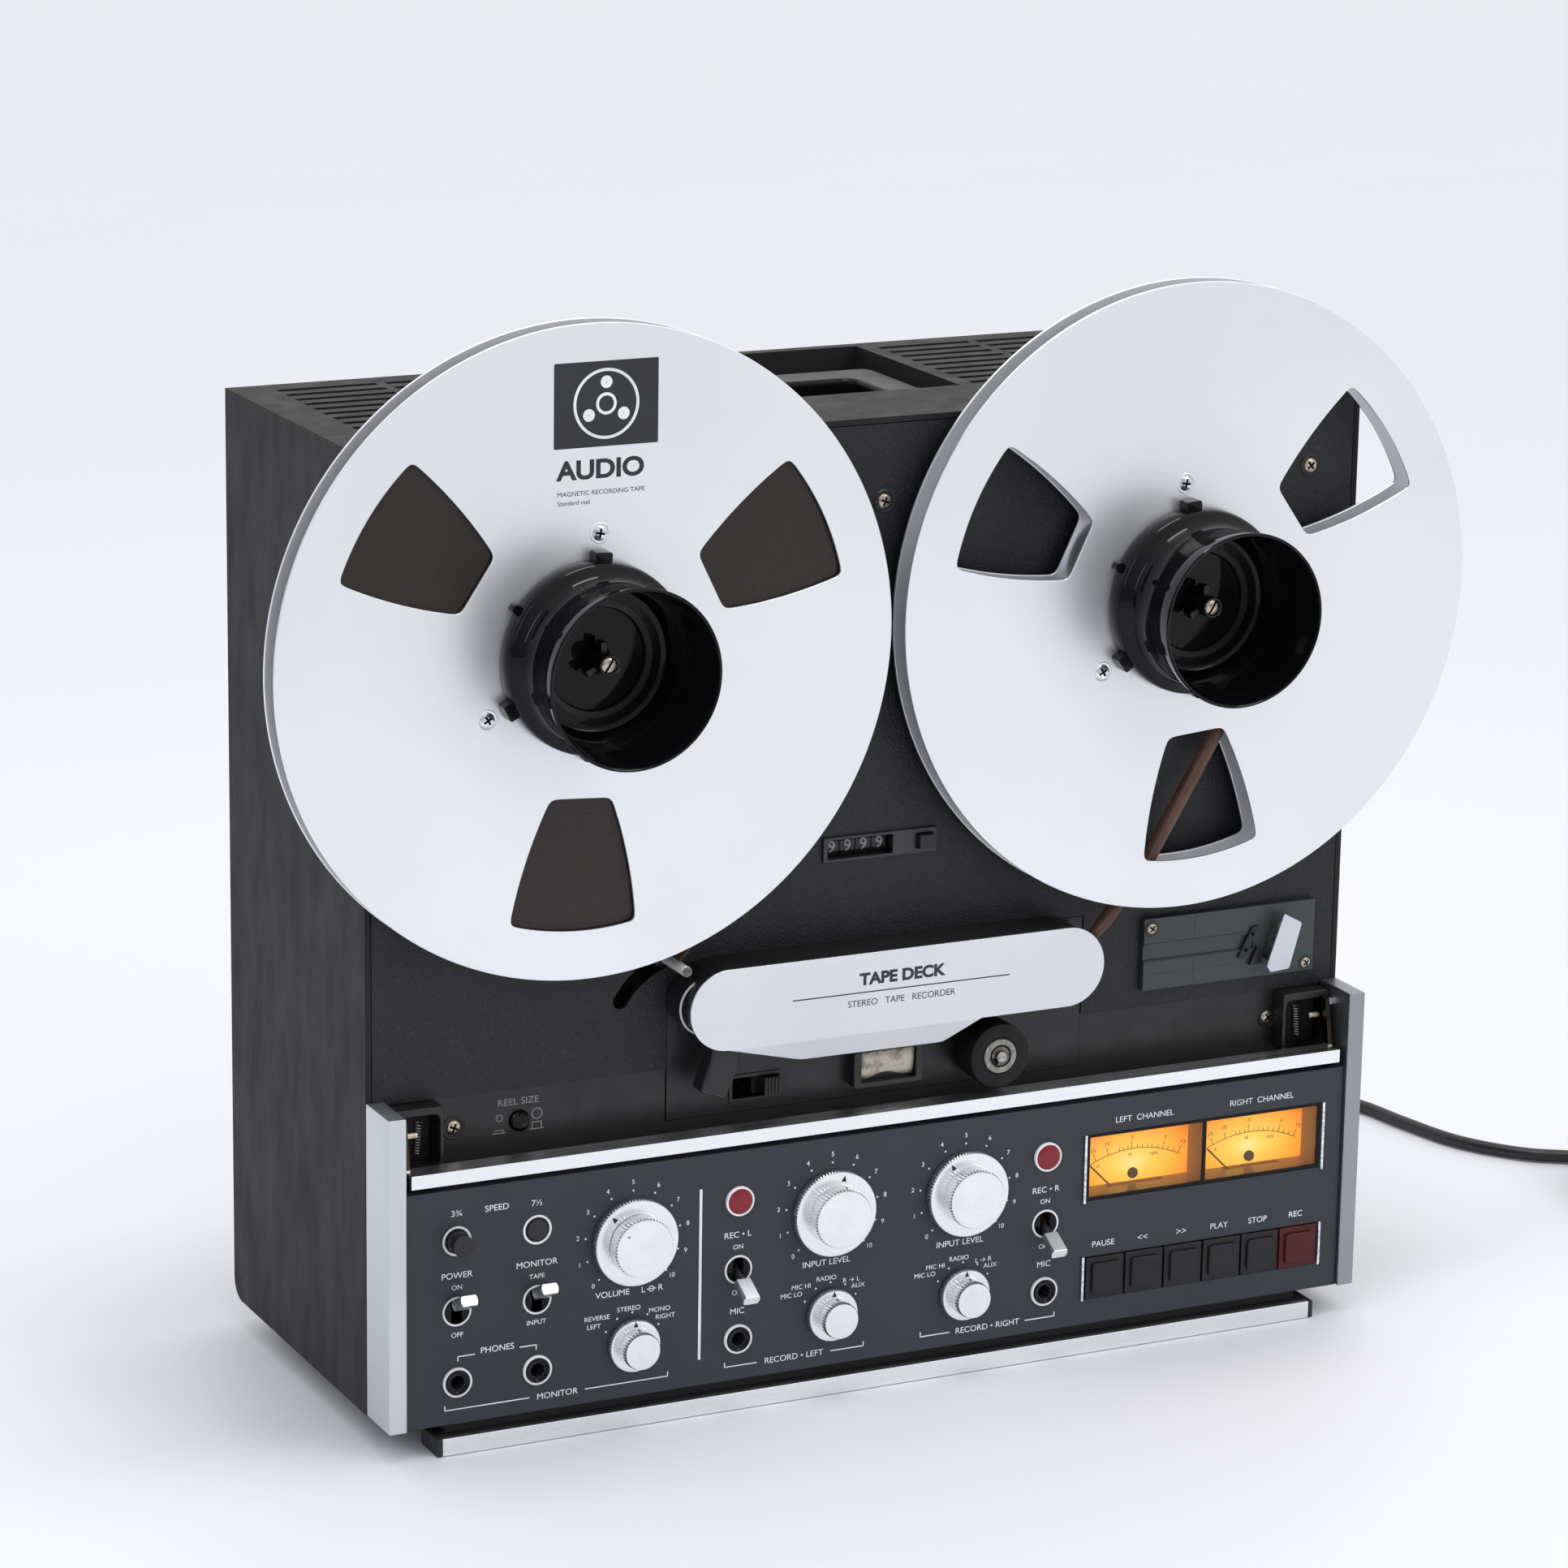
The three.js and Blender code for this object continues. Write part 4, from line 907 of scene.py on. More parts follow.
def window_loop(angle, x, z):
    """A wedge window: straight by the hub, bowed flanks, an arc near the rim and soft corners."""
    inner_left = Vector(polar(WINDOW_INNER, angle + WINDOW_IN_HALF, 0, 0))
    inner_right = Vector(polar(WINDOW_INNER, angle - WINDOW_IN_HALF, 0, 0))
    outer_right = Vector(polar(WINDOW_OUTER, angle - WINDOW_OUT_HALF, 0, 0))
    outer_left = Vector(polar(WINDOW_OUTER, angle + WINDOW_OUT_HALF, 0, 0))
    rim_bow = WINDOW_OUTER * (1 - math.cos(math.radians(WINDOW_OUT_HALF)))
    points = []
    for start, end, bow, steps in (
        (inner_left, inner_right, 0.0, 16), (inner_right, outer_right, FLANK_BOW, 32),
        (outer_right, outer_left, rim_bow, 34), (outer_left, inner_left, FLANK_BOW, 32),
    ):
        across = Vector((end.y - start.y, start.x - end.x)).normalized()
        for step in range(steps):
            t = step / steps
            points.append(start.lerp(end, t) + across * bow * 4 * t * (1 - t))
    return [(x + p.x, z + p.y) for p in soften(points, 3)]


def reel(side, x, z, turn):
    """Two flanges with windows, the hub between them, and three screws in dimples."""
    body = f"{side}_spool"
    shader = reel_material(f"{side}_reel_anodised", x, z)
    windows = [window_loop(angle + turn, x, z) for angle in (30, 150, 270)]
    bore = REEL_BORE + 0.1
    front, back = FLANGE_FRONT + FLANGE, FLANGE_BACK - FLANGE
    loops = [circle(REEL_RADIUS, x, z, 256), circle(bore, x, z, 128), *windows]
    flanges = [plate_mesh(loops, FLANGE_FRONT, front, 0.32, 3), plate_mesh(loops, back, FLANGE_BACK, 0.32, 3)]
    merged(f"{side}_reel_flanges", flanges, shader, body, [f"{side}_reel"])
    barrel = [(REEL_HUB, front), (REEL_HUB, back), (bore, back), (bore, front), (REEL_HUB, front)]
    lathe(f"{side}_reel_hub", barrel, COVER, body, x, z, 128)
    dimple = [
        (0, FLANGE_FRONT - 0.02), (3.5, FLANGE_FRONT - 0.02), (4.0, FLANGE_FRONT - 0.14),
        (4.5, FLANGE_FRONT + 0.1), (0, FLANGE_FRONT + 0.1),
    ]
    for index, angle in enumerate(SPOOLS[side]["screws"]):
        sx, sz = polar(49.5, angle, x, z)
        lathe(f"{side}_reel_screw_seat_{index}", dimple, shader, body, sx, sz, 40)
        place = (sx, FLANGE_FRONT - 0.03, sz)
        screw(f"{side}_reel_screw_{index}", *place, 3.1, 0.9, ZINC, body, 10 + 47 * index)


def smooth_profile(points):
    """Rounds the profile's points into one flowing line."""
    path = centripetal([(r, y, 0) for r, y in points], 5)
    return [(max(0.0, p.x), p.y) for p in path]


def adaptor(side, x, z, turn):
    """A flared cup on a ring that locks the reel with six tabs, large and small in turn."""
    body = f"{side}_spool"
    face, rim, rear = FLANGE_FRONT - 0.3, -62.3, -5.5
    inside = [
        (24.2, -23.4), (29.2, -23.9), (30.4, -26), (30.9, -38), (31.9, -46), (34.0, -55.5), (35.2, -61.5),
    ]
    outside = [
        (36.8, -61.6), (35.9, -56), (34.0, -47.5), (32.8, -40), (32.9, -33.5), (34.4, -29.5), (36.9, -27.2),
    ]
    profile = [
        (6.5, -21.6), (20.6, -21.6), (20.9, -22.9), (21.3, -23.4), *smooth_profile(inside),
        (35.5, rim + 0.25), (36.0, rim), (36.5, rim + 0.15), *smooth_profile(outside),
        (38.2, -26.6), (39.0, -25.4), (39.3, -22), (39.3, -19.2), (39.0, face), (37.5, face),
        (37.5, rear), (6.5, rear), (6.5, -21.6),
    ]
    lathe(f"{side}_adaptor_shell", profile, GLOSS, body, x, z, 144, [f"{side}_hub_adaptor"])
    band = [(20.9, -22.95), (21.4, -23.55), (23.9, -23.55), (24.1, -23.3), (21.0, -22.8), (20.9, -22.95)]
    lathe(f"{side}_adaptor_band", band, BLACK, body, x, z, 96)
    tabs = []
    for step in range(6):
        reach, half, corner, height = (43.0, 3.7, 1.2, 6.4) if step % 2 == 0 else (42.3, 2.1, 2.3, 4.3)
        outline = rounded([(37.6, -half), (reach, -half), (reach, half), (37.6, half)], corner)
        loop = turned(outline, 90 + turn + step * 60, x, z)
        tabs.append(plate_mesh([loop], face - height, face - 0.02, 0.5, 3))
    merged(f"{side}_adaptor_tabs", tabs, GLOSS, body)


def spindle(side, x, z):
    """The turntable and its shaft with three wings and a slotted screw."""
    body = f"{side}_spool"
    profile = [
        (0, -35.0), (3.5, -35.0), (3.6, -36), (4.1, -36), (4.3, -35.6), (4.3, -4.9), (44.2, -4.9),
        (45, -4.3), (45, -1.9), (8, -1.9), (8, 10), (4.5, 10), (4.5, 40), (31, 40), (31, 68), (0, 68),
    ]
    lathe(f"{side}_turntable_shaft", profile, BLACK, body, x, z, 64, [f"{side}_turntable"])
    wing = rounded([(3.6, -1.4), (8.4, -1.4), (8.4, 1.4), (3.6, 1.4)], 0.5)
    wings = [plate_mesh([turned(wing, angle, x, z)], -30.5, -24.6, 0.4) for angle in (90, 210, 330)]
    merged(f"{side}_spindle_wings", wings, BLACK, body)
    screw(f"{side}_spindle_screw", x, -35.05, z, 3.35, 0.85, NICKEL, body, 32, True)


def tape_pack():
    x, _, z = deck_centre("left_reel")
    winding = [
        (57.5, -15.2), (110, -15.2), (123.6, -15.1), (124, -14.7), (124, -9.2), (123.6, -8.8), (57.5, -8.8),
        (57.5, -15.2),
    ]
    shader = tape_material("wound_tape", x, z)
    lathe("left_tape_winding", winding, shader, "left_spool", x, z, 192, ["left_tape_pack"])


def reel_label():
    """A plain generic label: a dark patch with a reel pictogram, and three lines of words."""
    y = FLANGE_FRONT - 0.01
    left, right, bottom, top = -153.0, -108.3, 409.4, 443.4
    x, z, words_left = (left + right) / 2, (bottom + top) / 2, left + 1.6
    patch = [rectangle(left, right, bottom, top, 0.6)]
    plate("left_reel_label", patch, y - 0.06, y, DARK_INK, "left_spool", bevel=0.01)
    front = y - 0.06
    marks = [ring_mesh(12.9, 14.1, x, z, front), ring_mesh(3.2, 4.4, x, z, front)]
    marks += [ring_mesh(0.2, 2.5, *polar(8.6, angle, x, z), front) for angle in (90, 210, 330)]
    merged("left_reel_label_mark", marks, WHITE_INK, "left_spool")
    words = [
        text_mesh("AUDIO", words_left, 400.2, 7.6, y, "LEFT", bold=0.35, stretch=1.12),
        text_mesh("MAGNETIC RECORDING TAPE", words_left, 391.2, 1.9, y, "LEFT", stretch=1.06),
        text_mesh("Standard reel", words_left, 387.6, 1.9, y, "LEFT"),
    ]
    merged("left_reel_label_words", words, DARK_INK, "left_spool")


for side, facts in SPOOLS.items():
    middle = deck_centre(f"{side}_reel")
    reel(side, middle.x, middle.z, facts["turn"])
    adaptor(side, middle.x, middle.z, facts["turn"])
    spindle(side, middle.x, middle.z)
tape_pack()
reel_label()

# ---------------------------------------------------------------------------
# Head block and tape path
# ---------------------------------------------------------------------------

COVER_FOLD, FOLD_SLOPE = 155.4, 0.42
TAPE_MIDDLE_Y, TAPE_HALF = -11.05, 3.15


def head_cover():
    """The silver cover: a stadium whose lower edge folds back below a crease."""
    left, right, z, radius, front, rear = -93.4, 98.0, 172.7, 17.2, -22.5, -21.3
    outline = [polar(radius, 90 + 180 * step / 32, left + radius, z) for step in range(33)]
    outline += rounded([outline[-1], (-41.6, 146.3), (24.2, 145.8), (40.4, z - radius)], 2.0, 3)[4:12]
    outline.append((40.4, z - radius))
    outline += [polar(radius, -90 + 180 * step / 32, right - radius, z) for step in range(33)]
    bm = bmesh.new()
    bm.from_mesh(plate_mesh([outline], front, rear, 0.3, 3))
    crease = at(0, 0, COVER_FOLD)
    everything = bm.verts[:] + bm.edges[:] + bm.faces[:]
    bmesh.ops.bisect_plane(bm, geom=everything, plane_co=crease, plane_no=(0, 0, 1), dist=1e-6)
    for vertex in bm.verts:
        below = crease.z - vertex.co.z
        if below > 1e-6 and abs(vertex.co.x) < 76 * MM:
            vertex.co.y += below * FOLD_SLOPE
    piece("head_cover_plate", to_mesh(bm, "head_cover_plate"), COVER, "deck", ["head_cover"], FLAT_SHARP)
    y, middle = front - 0.005, (left + right) / 2 + 0.3
    marks = [
        line_mesh(-47.4, 173.3, 52.9, 173.0, 0.5, y),
        text_mesh("STEREO   TAPE   RECORDER", middle, 168.6, 2.9, y),
        text_mesh("TAPE DECK", middle, 178.6, 5.0, y, bold=0.3, stretch=1.1),
    ]
    merged("head_cover_print", marks, DARK_INK, "deck")


def pinch_roller():
    """A rubber tyre on a bearing ring, turning on the arm's pin behind a retaining clip."""
    x, z = 51.7, 136.3
    tyre = [
        (8.0, -18.3), (13.0, -18.4), (13.55, -18.1), (13.7, -17.5), (13.7, -5.9), (13.0, -5.0), (8.0, -5.0),
        (8.0, -18.3),
    ]
    lathe("pinch_tyre", tyre, TYRE, "pinch_wheel", x, z, 96, ["pinch_roller"])
    ring = [
        (4.7, -18.0), (4.9, -18.9), (5.2, -19.1), (7.2, -19.1), (7.5, -18.8), (7.8, -18.2), (7.9, -6),
        (4.7, -6), (4.7, -18.0),
    ]
    lathe("pinch_bearing", ring, BEARING, "pinch_wheel", x, z, 64)
    boss = [(2.8, -17.6), (4.65, -17.6), (4.65, -6), (2.8, -6), (2.8, -17.6)]
    lathe("pinch_boss", boss, MATTE, "pinch_wheel", x, z, 48)
    pin = [(0, -20.8), (1.9, -20.8), (2.35, -20.3), (2.35, -5), (0, -5)]
    lathe("pinch_pin", pin, STEEL, "pinch_arm", x, z, 32)
    angles = [250 + step * 13 for step in range(24)]
    clip = [polar(4.2, angle, x, z) for angle in angles]
    clip += [polar(2.5, angle, x, z) for angle in reversed(angles)]
    plate("pinch_clip", [clip], -18.9, -18.2, DARK_STEEL, "pinch_arm", bevel=0.1)


def tape_guides():
    pin = [(0, -18.6), (1.0, -18.6), (1.2, -19.3), (1.9, -19.4), (2.2, -19.0), (2.2, 4), (0, 4)]
    # The tension pin and the left guide's flange use the painted-highlight guide metal.
    lathe("tension_pin", pin, GUIDE_PAINTED_SHINE, "tension_arm", -93.67, 190.2, 40)
    dress("tape_tension_arm", DARK_STEEL)
    x, z = -82.8, 173.0
    washer = [(11.5, -15.4), (12.2, -15.4), (12.3, -15.1), (12.2, -14.8), (11.5, -14.8), (11.5, -15.4)]
    lathe("left_guide_flange", washer, GUIDE_PAINTED_SHINE, "deck", x, z, 96)
    lathe("left_guide_roller", [(0, -15.0), (11.6, -15.0), (11.6, 0.3), (0, 0.3)], BLACK, "deck", x, z, 64)
    post = [(0, -18.6), (2.4, -18.6), (2.4, 0.3), (0, 0.3)]
    lathe("right_guide_pin", post, CHROME, "deck", 92.2, 178.4, 32)


def tape_strip():
    """The free tape: from the left pack over the guides, and up to the right hub.

    Each point holds x, z and how far each edge leans off the middle line as the tape twists.
    """
    shader = Shader("tape_strip", (0.105, 0.052, 0.032), 0.3)
    shader.tint(shader.noise(50), 0.8, 1.2)
    shader.rough(shader.noise(90), 0.06)
    runs = {
        "left": [(-29.6, 261.2, 0), (-94.5, 193.2, 0)],
        "middle": [
            (-90, 168.4, 0), (-60, 158.8, 0), (-26, 157.0, 0), (12, 157.0, 0), (52, 157.3, 0), (92, 175.6, 0),
        ],
        "right": [
            (92, 175.6, 0), (103.4, 186.6, 2.2), (124.1, 212.8, 2.7), (155.8, 266.4, 2.7), (160.6, 272.6, 0),
        ],
    }
    for name, points in runs.items():
        bm = bmesh.new()
        middles = [Vector(point[:2]) for point in points]
        rows = []
        for index, (x, z, lean) in enumerate(points):
            along = middles[min(index + 1, len(points) - 1)] - middles[max(index - 1, 0)]
            shift = Vector((along.y, -along.x)).normalized() * lean
            half = math.sqrt(TAPE_HALF ** 2 - lean ** 2)
            rows.append([
                bm.verts.new(at(x + shift.x, TAPE_MIDDLE_Y - half, z + shift.y)),
                bm.verts.new(at(x - shift.x, TAPE_MIDDLE_Y + half, z - shift.y)),
            ])
        add_skin(bm, rows, False)
        thicken(piece(f"tape_run_{name}", to_mesh(bm, name), shader, "deck"), 0.08, 0)


def edit_parts():
    """The edit lever's paddle on its pin, and the slider with its ribs and frame."""
    corners = [(-86.4, 137.2), (-74.6, 133), (-68.2, 147.4), (-69.5, 159), (-80.5, 159), (-81.5, 150.5)]
    paddle = [rounded(corners, 2.0)]
    plate("edit_lever_paddle", paddle, -17.5, -8, BLACK, "edit_lever", ["edit_lever"], 1.4, 3)
    lathe("edit_lever_pin", [(0, -9), (2.8, -9), (2.8, 8), (0, 8)], BLACK, "edit_lever", -75, 158, 32)
    dress("edit_slider", BLACK, 0.6)
    ribs = []
    for step in range(5):
        left = -50.2 + step * 1.6
        ribs.append(plate_mesh([rectangle(left, left + 0.8, 127.2, 134.4)], -3.5, -2.9, 0.1))
    merged("edit_slider_ribs", ribs, BLACK, "edit_slider")
    loops = [rectangle(-65.2, -40.6, 124.8, 136.8, 1.2), rectangle(-63.6, -42.2, 126.4, 135.2, 0.6)]
    plate("edit_slider_frame", loops, -0.2, 0.5, BLACK, "deck", bevel=0.15)


def head_shield():
    """The pale shield below the cover, in its black frame, and the frame's turned-out lip."""
    left, right, columns = -6.4, 18.4, 12
    bm = bmesh.new()
    rows = []
    for z, y in [(128.3, -2.3), (131, -3.4), (136, -4.2), (140.6, -4.5)]:
        row = []
        for step in range(columns + 1):
            t = step / columns
            x = left + (right - left) * t
            row.append(bm.verts.new(at(x, y + 1.2 * math.sin(math.pi * t) ** 2, z)))
        rows.append(row)
    add_skin(bm, rows, False)
    thicken(piece("head_shield_plate", to_mesh(bm, "head_shield_plate"), SHIELD, "deck"), 0.4, -1)
    lip = [rectangle(-10.4, 21.9, 125.6, 141.6, 1.6), rectangle(-7.0, 18.6, 128.0, 141.2, 0.8)]
    plate("head_shield_lip", lip, -6.2, -5.0, BLACK, "deck", bevel=0.4)


head_cover()
pinch_roller()
tape_guides()
tape_strip()
edit_parts()
head_shield()

# ---------------------------------------------------------------------------
# Splicer, counter and reel-size button
# ---------------------------------------------------------------------------

SPLICER_Y, LOWER_Y = -3.2, 1.0
DRUM_RADIUS, DIGIT_PITCH = 6.8, 7.3


def splicer():
    """Grooves, the knife's guide and heel, two screws and the lifted cutter lever."""
    left, right, bottom, top, y = 128.6, 181.5, 152.0, 182.4, SPLICER_Y
    dress("splicer_base", SPLICE, 0.3)
    rails = [
        plate_mesh([rectangle(left, right, low, low + 0.6)], y - 0.35, y + 0.1, 0.1) for low in (171.3, 163.5)
    ]
    lines = [(152.6, 153.0, bottom, 164.0), (152.6, 153.0, 171.4, top), (left, 182, 158.0, 158.3)]
    rails += [plate_mesh([rectangle(*line)], y - 0.12, y + 0.1, 0.02) for line in lines]
    merged("splicer_rails", rails, SPLICE, "deck")
    knife = [rounded([(173.8, 160.9), (177.8, 161.2), (184.0, 174.6), (180.6, 174.2)], 0.8)]
    plate("splicer_knife_guide", knife, y - 1.4, y - 0.05, BLACK, "deck", bevel=0.2)
    # Painted shade: flat near-black discs on the knife guide stand for its two holes.
    knife_hole_shades = [ring_mesh(0.05, 0.9, x, z, y - 1.42) for x, z in ((177.6, 164.4), (180.7, 171.2))]
    merged("splicer_knife_hole_shades", knife_hole_shades, RECESS_SHADE, "deck")
    heel = [rounded([(179.2, 157.4), (185.2, 157.6), (185.2, 162.8), (183.2, 165.6)], 0.6)]
    plate("splicer_heel", heel, y - 2.2, y - 0.05, BLACK, "deck", bevel=0.3)
    for index, (x, z) in enumerate([(131.7, 178.6), (208.6, 154.8)]):
        cup(f"splicer_screw_cup_{index}", x, y, z, 3.4, SPLICE, "deck")
        screw(f"splicer_screw_{index}", x, y - 0.06, z, 2.3, 0.7, NICKEL, "deck", 35 + 20 * index)
    lever = [rounded([(186.4, 155), (195.8, 155.6), (201.4, 175.6), (192.4, 180.6), (184.6, 158)], 1.0)]
    plate("splicer_lever", lever, -11, -9.6, TRIM, "splicer_arm", ["splicer_arm"], 0.3, 3)
    web = [rounded([(186.4, 159.5), (188.0, 159.5), (192.6, 175.4), (190.8, 176.4)], 0.6)]
    plate("splicer_lever_web", web, -9.7, -3.55, STEEL, "splicer_arm", bevel=0.2)


def counter():
    """The bezel round the drums and the reset button, and a digit wrapped on each drum."""
    lo, hi = deck_box("counter_drums")
    middle, drum_y = (lo.z + hi.z) / 2, (lo.y + hi.y) / 2
    outer = rectangle(-24.2, 28.1, 223.7, 234.2, 0.8)
    window = rectangle(-22.2, 7.8, 224.9, 233.0, 0.4)
    button = rectangle(18.6, 26.2, 225.6, 232.2, 0.4)
    plate("counter_bezel", [outer, window, button], -1.4, -0.75, FRAME_GREY, "deck", bevel=0.28)
    digits = []
    for index in range(4):
        x = -18.1 + index * DIGIT_PITCH
        mesh = text_mesh("9", x, middle - 0.2, 4.9, lo.y - 0.01, bold=0.14)
        for vertex in mesh.vertices:
            dz = vertex.co.z / MM - middle
            depth = math.sqrt(max(0.0, DRUM_RADIUS ** 2 - dz ** 2))
            vertex.co.y = FACE_Y + (drum_y - depth - 0.12) * MM
        digits.append(mesh)
    merged("counter_digits", digits, DIGIT_INK, "counter")
    dress("counter_reset_button", BLACK, 0.6)


def reel_size():
    """The reel-size button between two printed signs: a small reel, out, and a large one, in."""
    cap = [(0, -1.2), (2.6, -1.4), (3.7, -1.1), (4.2, -0.5), (4.2, 12), (0, 12)]
    lathe("reel_size_cap", cap, GLOSS, "reel_size", -158.7, 129.3, 64, ["reel_size_button"])
    y, base, width, thin = LOWER_Y, 124.9, 6.0, 0.4
    marks = [
        text_mesh("REEL SIZE", -159.2, 137.5, 2.9, y, stretch=1.1),
        ring_mesh(1.15, 1.55, -167.5, 131.3, y),
        ring_mesh(2.0, 2.4, -150.9, 131.4, y),
    ]
    for left, height in ((-170.6, 1.2), (-154.0, 2.9)):
        low, high, top = left + 1.0, left + width - 1.0, base + height
        marks += [
            line_mesh(left, base, left + width, base, thin, y),
            line_mesh(low, base, low, top, thin, y),
            line_mesh(high, base, high, top, thin, y),
            line_mesh(low - thin / 2, top, high + thin / 2, top, thin, y),
        ]
    merged("reel_size_print", marks, GREY_INK, "deck")


splicer()
counter()
reel_size()

# ---------------------------------------------------------------------------
# Control panel
# ---------------------------------------------------------------------------

PANEL_Y = -22.9
ROW = {"lamp": 90.5, "knob": 80.1, "toggle": 60.5, "selector": 35.2, "jack": 30.3}
VOLUME_X, LEFT_LEVEL_X, RIGHT_LEVEL_X = -118.4, -28.0, 34.2
SLOW_X, FAST_X, RECORD_LEFT_X, RECORD_RIGHT_X = -195.9, -160.8, -70.6, 73.1
COLUMNS = (SLOW_X, FAST_X, RECORD_LEFT_X, RECORD_RIGHT_X)
LARGE_KNOB = {"skirt": 18.7, "cap": 12.8, "step": -27.6, "front": -35.0, "teeth": (84, 54), "mark": 1.4}
SMALL_KNOB = {"skirt": 11.4, "cap": 8.0, "step": -26.8, "front": -34.2, "teeth": (60, 36), "mark": 1.25}
TOGGLE_TILT, TOGGLE_PIVOT_Y = 28, -19.0
BAT_RADIUS, BAT_HALF_HEIGHT = 3.75, 2.25

dress("control_panel", PANEL, 0.35)


def knob_part(name, x, z, radius, rear, front, teeth, depth, shader, body, replaces, bore=0.0):
    """A knurled disc with a smooth bevelled front face."""
    profile = [
        (bore, front + 0.02 if bore else front), (radius * 0.5, front - 0.01), (radius - 1.5, front),
        (radius - 0.9, front), (radius - 0.45, front + 0.12), (radius, front + 0.75),
        (radius, rear - 0.45), (radius - 0.4, rear), (bore, rear),
    ]
    if bore:
        profile.append(profile[0])

    def knurl(angle, r):
        tooth = (angle * teeth / (2 * math.pi)) % 1
        return -2 * depth * abs(tooth - 0.5) if r == radius else 0

    lathe(name, profile, shader, body, x, z, teeth * 4, replaces, knurl)


def pointer_mesh(x, z, radius, size, degrees, y):
    """A small triangle that points outwards, degrees clockwise from the top."""
    half = size * 0.85
    corners = [(radius + size, 0), (radius - size, -half), (radius - size, half)]
    return plate_mesh([turned(corners, 90 - degrees, x, z)], y - 0.04, y, 0.0)


def control_knob(name, x, z, size, pointer, bodies, nodes):
    """A knurled skirt and a cap on it, with a gap between them if they turn on their own."""
    shader = spun_material(f"{name}_aluminium", x, z)
    skirt, cap, step = size["skirt"], size["cap"], size["step"]
    bore, gap = (4.4, 0.3) if len(bodies) > 1 else (0.0, -0.05)
    knob_part(f"{name}_skirt", x, z, skirt, PANEL_Y - 0.3, step, size["teeth"][0], 0.28, shader,
              bodies[0], nodes[:1], bore)
    knob_part(f"{name}_cap", x, z, cap, step - gap, size["front"], size["teeth"][1], 0.6, shader,
              bodies[-1], nodes[1:])
    mark = pointer_mesh(x, z, (cap + skirt) / 2 - 0.1, size["mark"], pointer, step - 0.005)
    piece(f"{name}_pointer", mark, MATTE, bodies[0])


def knobs():
    control_knob("volume", VOLUME_X, ROW["knob"], LARGE_KNOB, -42, ["volume_outer", "volume_inner"],
                 ["volume_outer_knob", "volume_inner_knob"])
    small_mark = pointer_mesh(VOLUME_X, ROW["knob"], 9.6, 0.7, -50, LARGE_KNOB["front"] - 0.02)
    piece("volume_inner_pointer", small_mark, GREY_INK, "volume_inner")
    for name, x, row, size, pointer in (
        ("input_level_left", LEFT_LEVEL_X, "knob", LARGE_KNOB, 12),
        ("input_selector_left", LEFT_LEVEL_X, "selector", SMALL_KNOB, 0),
        ("input_level_right", RIGHT_LEVEL_X, "knob", LARGE_KNOB, -32),
        ("input_selector_right", RIGHT_LEVEL_X, "selector", SMALL_KNOB, 0),
        ("monitor_selector", VOLUME_X, "selector", SMALL_KNOB, 0),
    ):
        control_knob(name, x, ROW[row], size, pointer, [name], [f"{name}_knob"])


def toggle(name, x, tilt):
    """A flat-sided metal bat on a dark neck, tilted from its pivot behind the panel."""
    z = ROW["toggle"]
    bm = bmesh.new()
    neck_profile = [(0, 2.4), (1.8, 2.2), (1.8, -4.2), (2.1, -5.6), (2.15, -9.4), (0, -9.4)]
    add_lathe(bm, neck_profile, 32, 0, 0)
    neck = to_mesh(bm, "neck")
    reach = math.degrees(math.asin(BAT_HALF_HEIGHT / BAT_RADIUS))
    right = [polar(BAT_RADIUS, reach * (step / 6 - 1), 0, 0) for step in range(13)]
    bat = plate_mesh([right + [(-px, pz) for px, pz in reversed(right)]], -19.6, -8.8, 0.35, 3)
    turn = Matrix.Rotation(math.radians(tilt), 4, "X")
    for mesh in (neck, bat):
        mesh.transform(Matrix.Translation(at(x, TOGGLE_PIVOT_Y, z)) @ turn @ Matrix.Translation(-at(0, 0, 0)))
    piece(f"{name}_neck", neck, BLACK, name)
    piece(f"{name}_bat", bat, SATIN, name, [name], FLAT_SHARP)
    loops = [circle(5.4, x, z, 64), rectangle(x - 3.0, x + 3.0, z - 5.0, z + 5.0, 2.9)]
    plate(f"{name}_bush", loops, PANEL_Y - 0.35, PANEL_Y - 0.01, GLOSS, "deck", bevel=0.12)


def panel_rings():
    """White rings round the toggles, buttons, jacks and lamps. The last two stand proud."""
    rings = [ring_mesh(5.35, 6.25, x, ROW["toggle"], PANEL_Y, 0.14) for x in COLUMNS]
    rings += [ring_mesh(5.35, 6.25, x, ROW["lamp"], PANEL_Y, 0.14) for x in COLUMNS[:2]]
    rings += [ring_mesh(5.35, 6.3, x, ROW["jack"], PANEL_Y, 1.15, 0.1) for x in COLUMNS]
    rings += [ring_mesh(5.45, 6.3, x, ROW["lamp"], PANEL_Y, 1.4, 0.1) for x in COLUMNS[2:]]
    merged("panel_rings", rings, WHITE_INK, "deck")


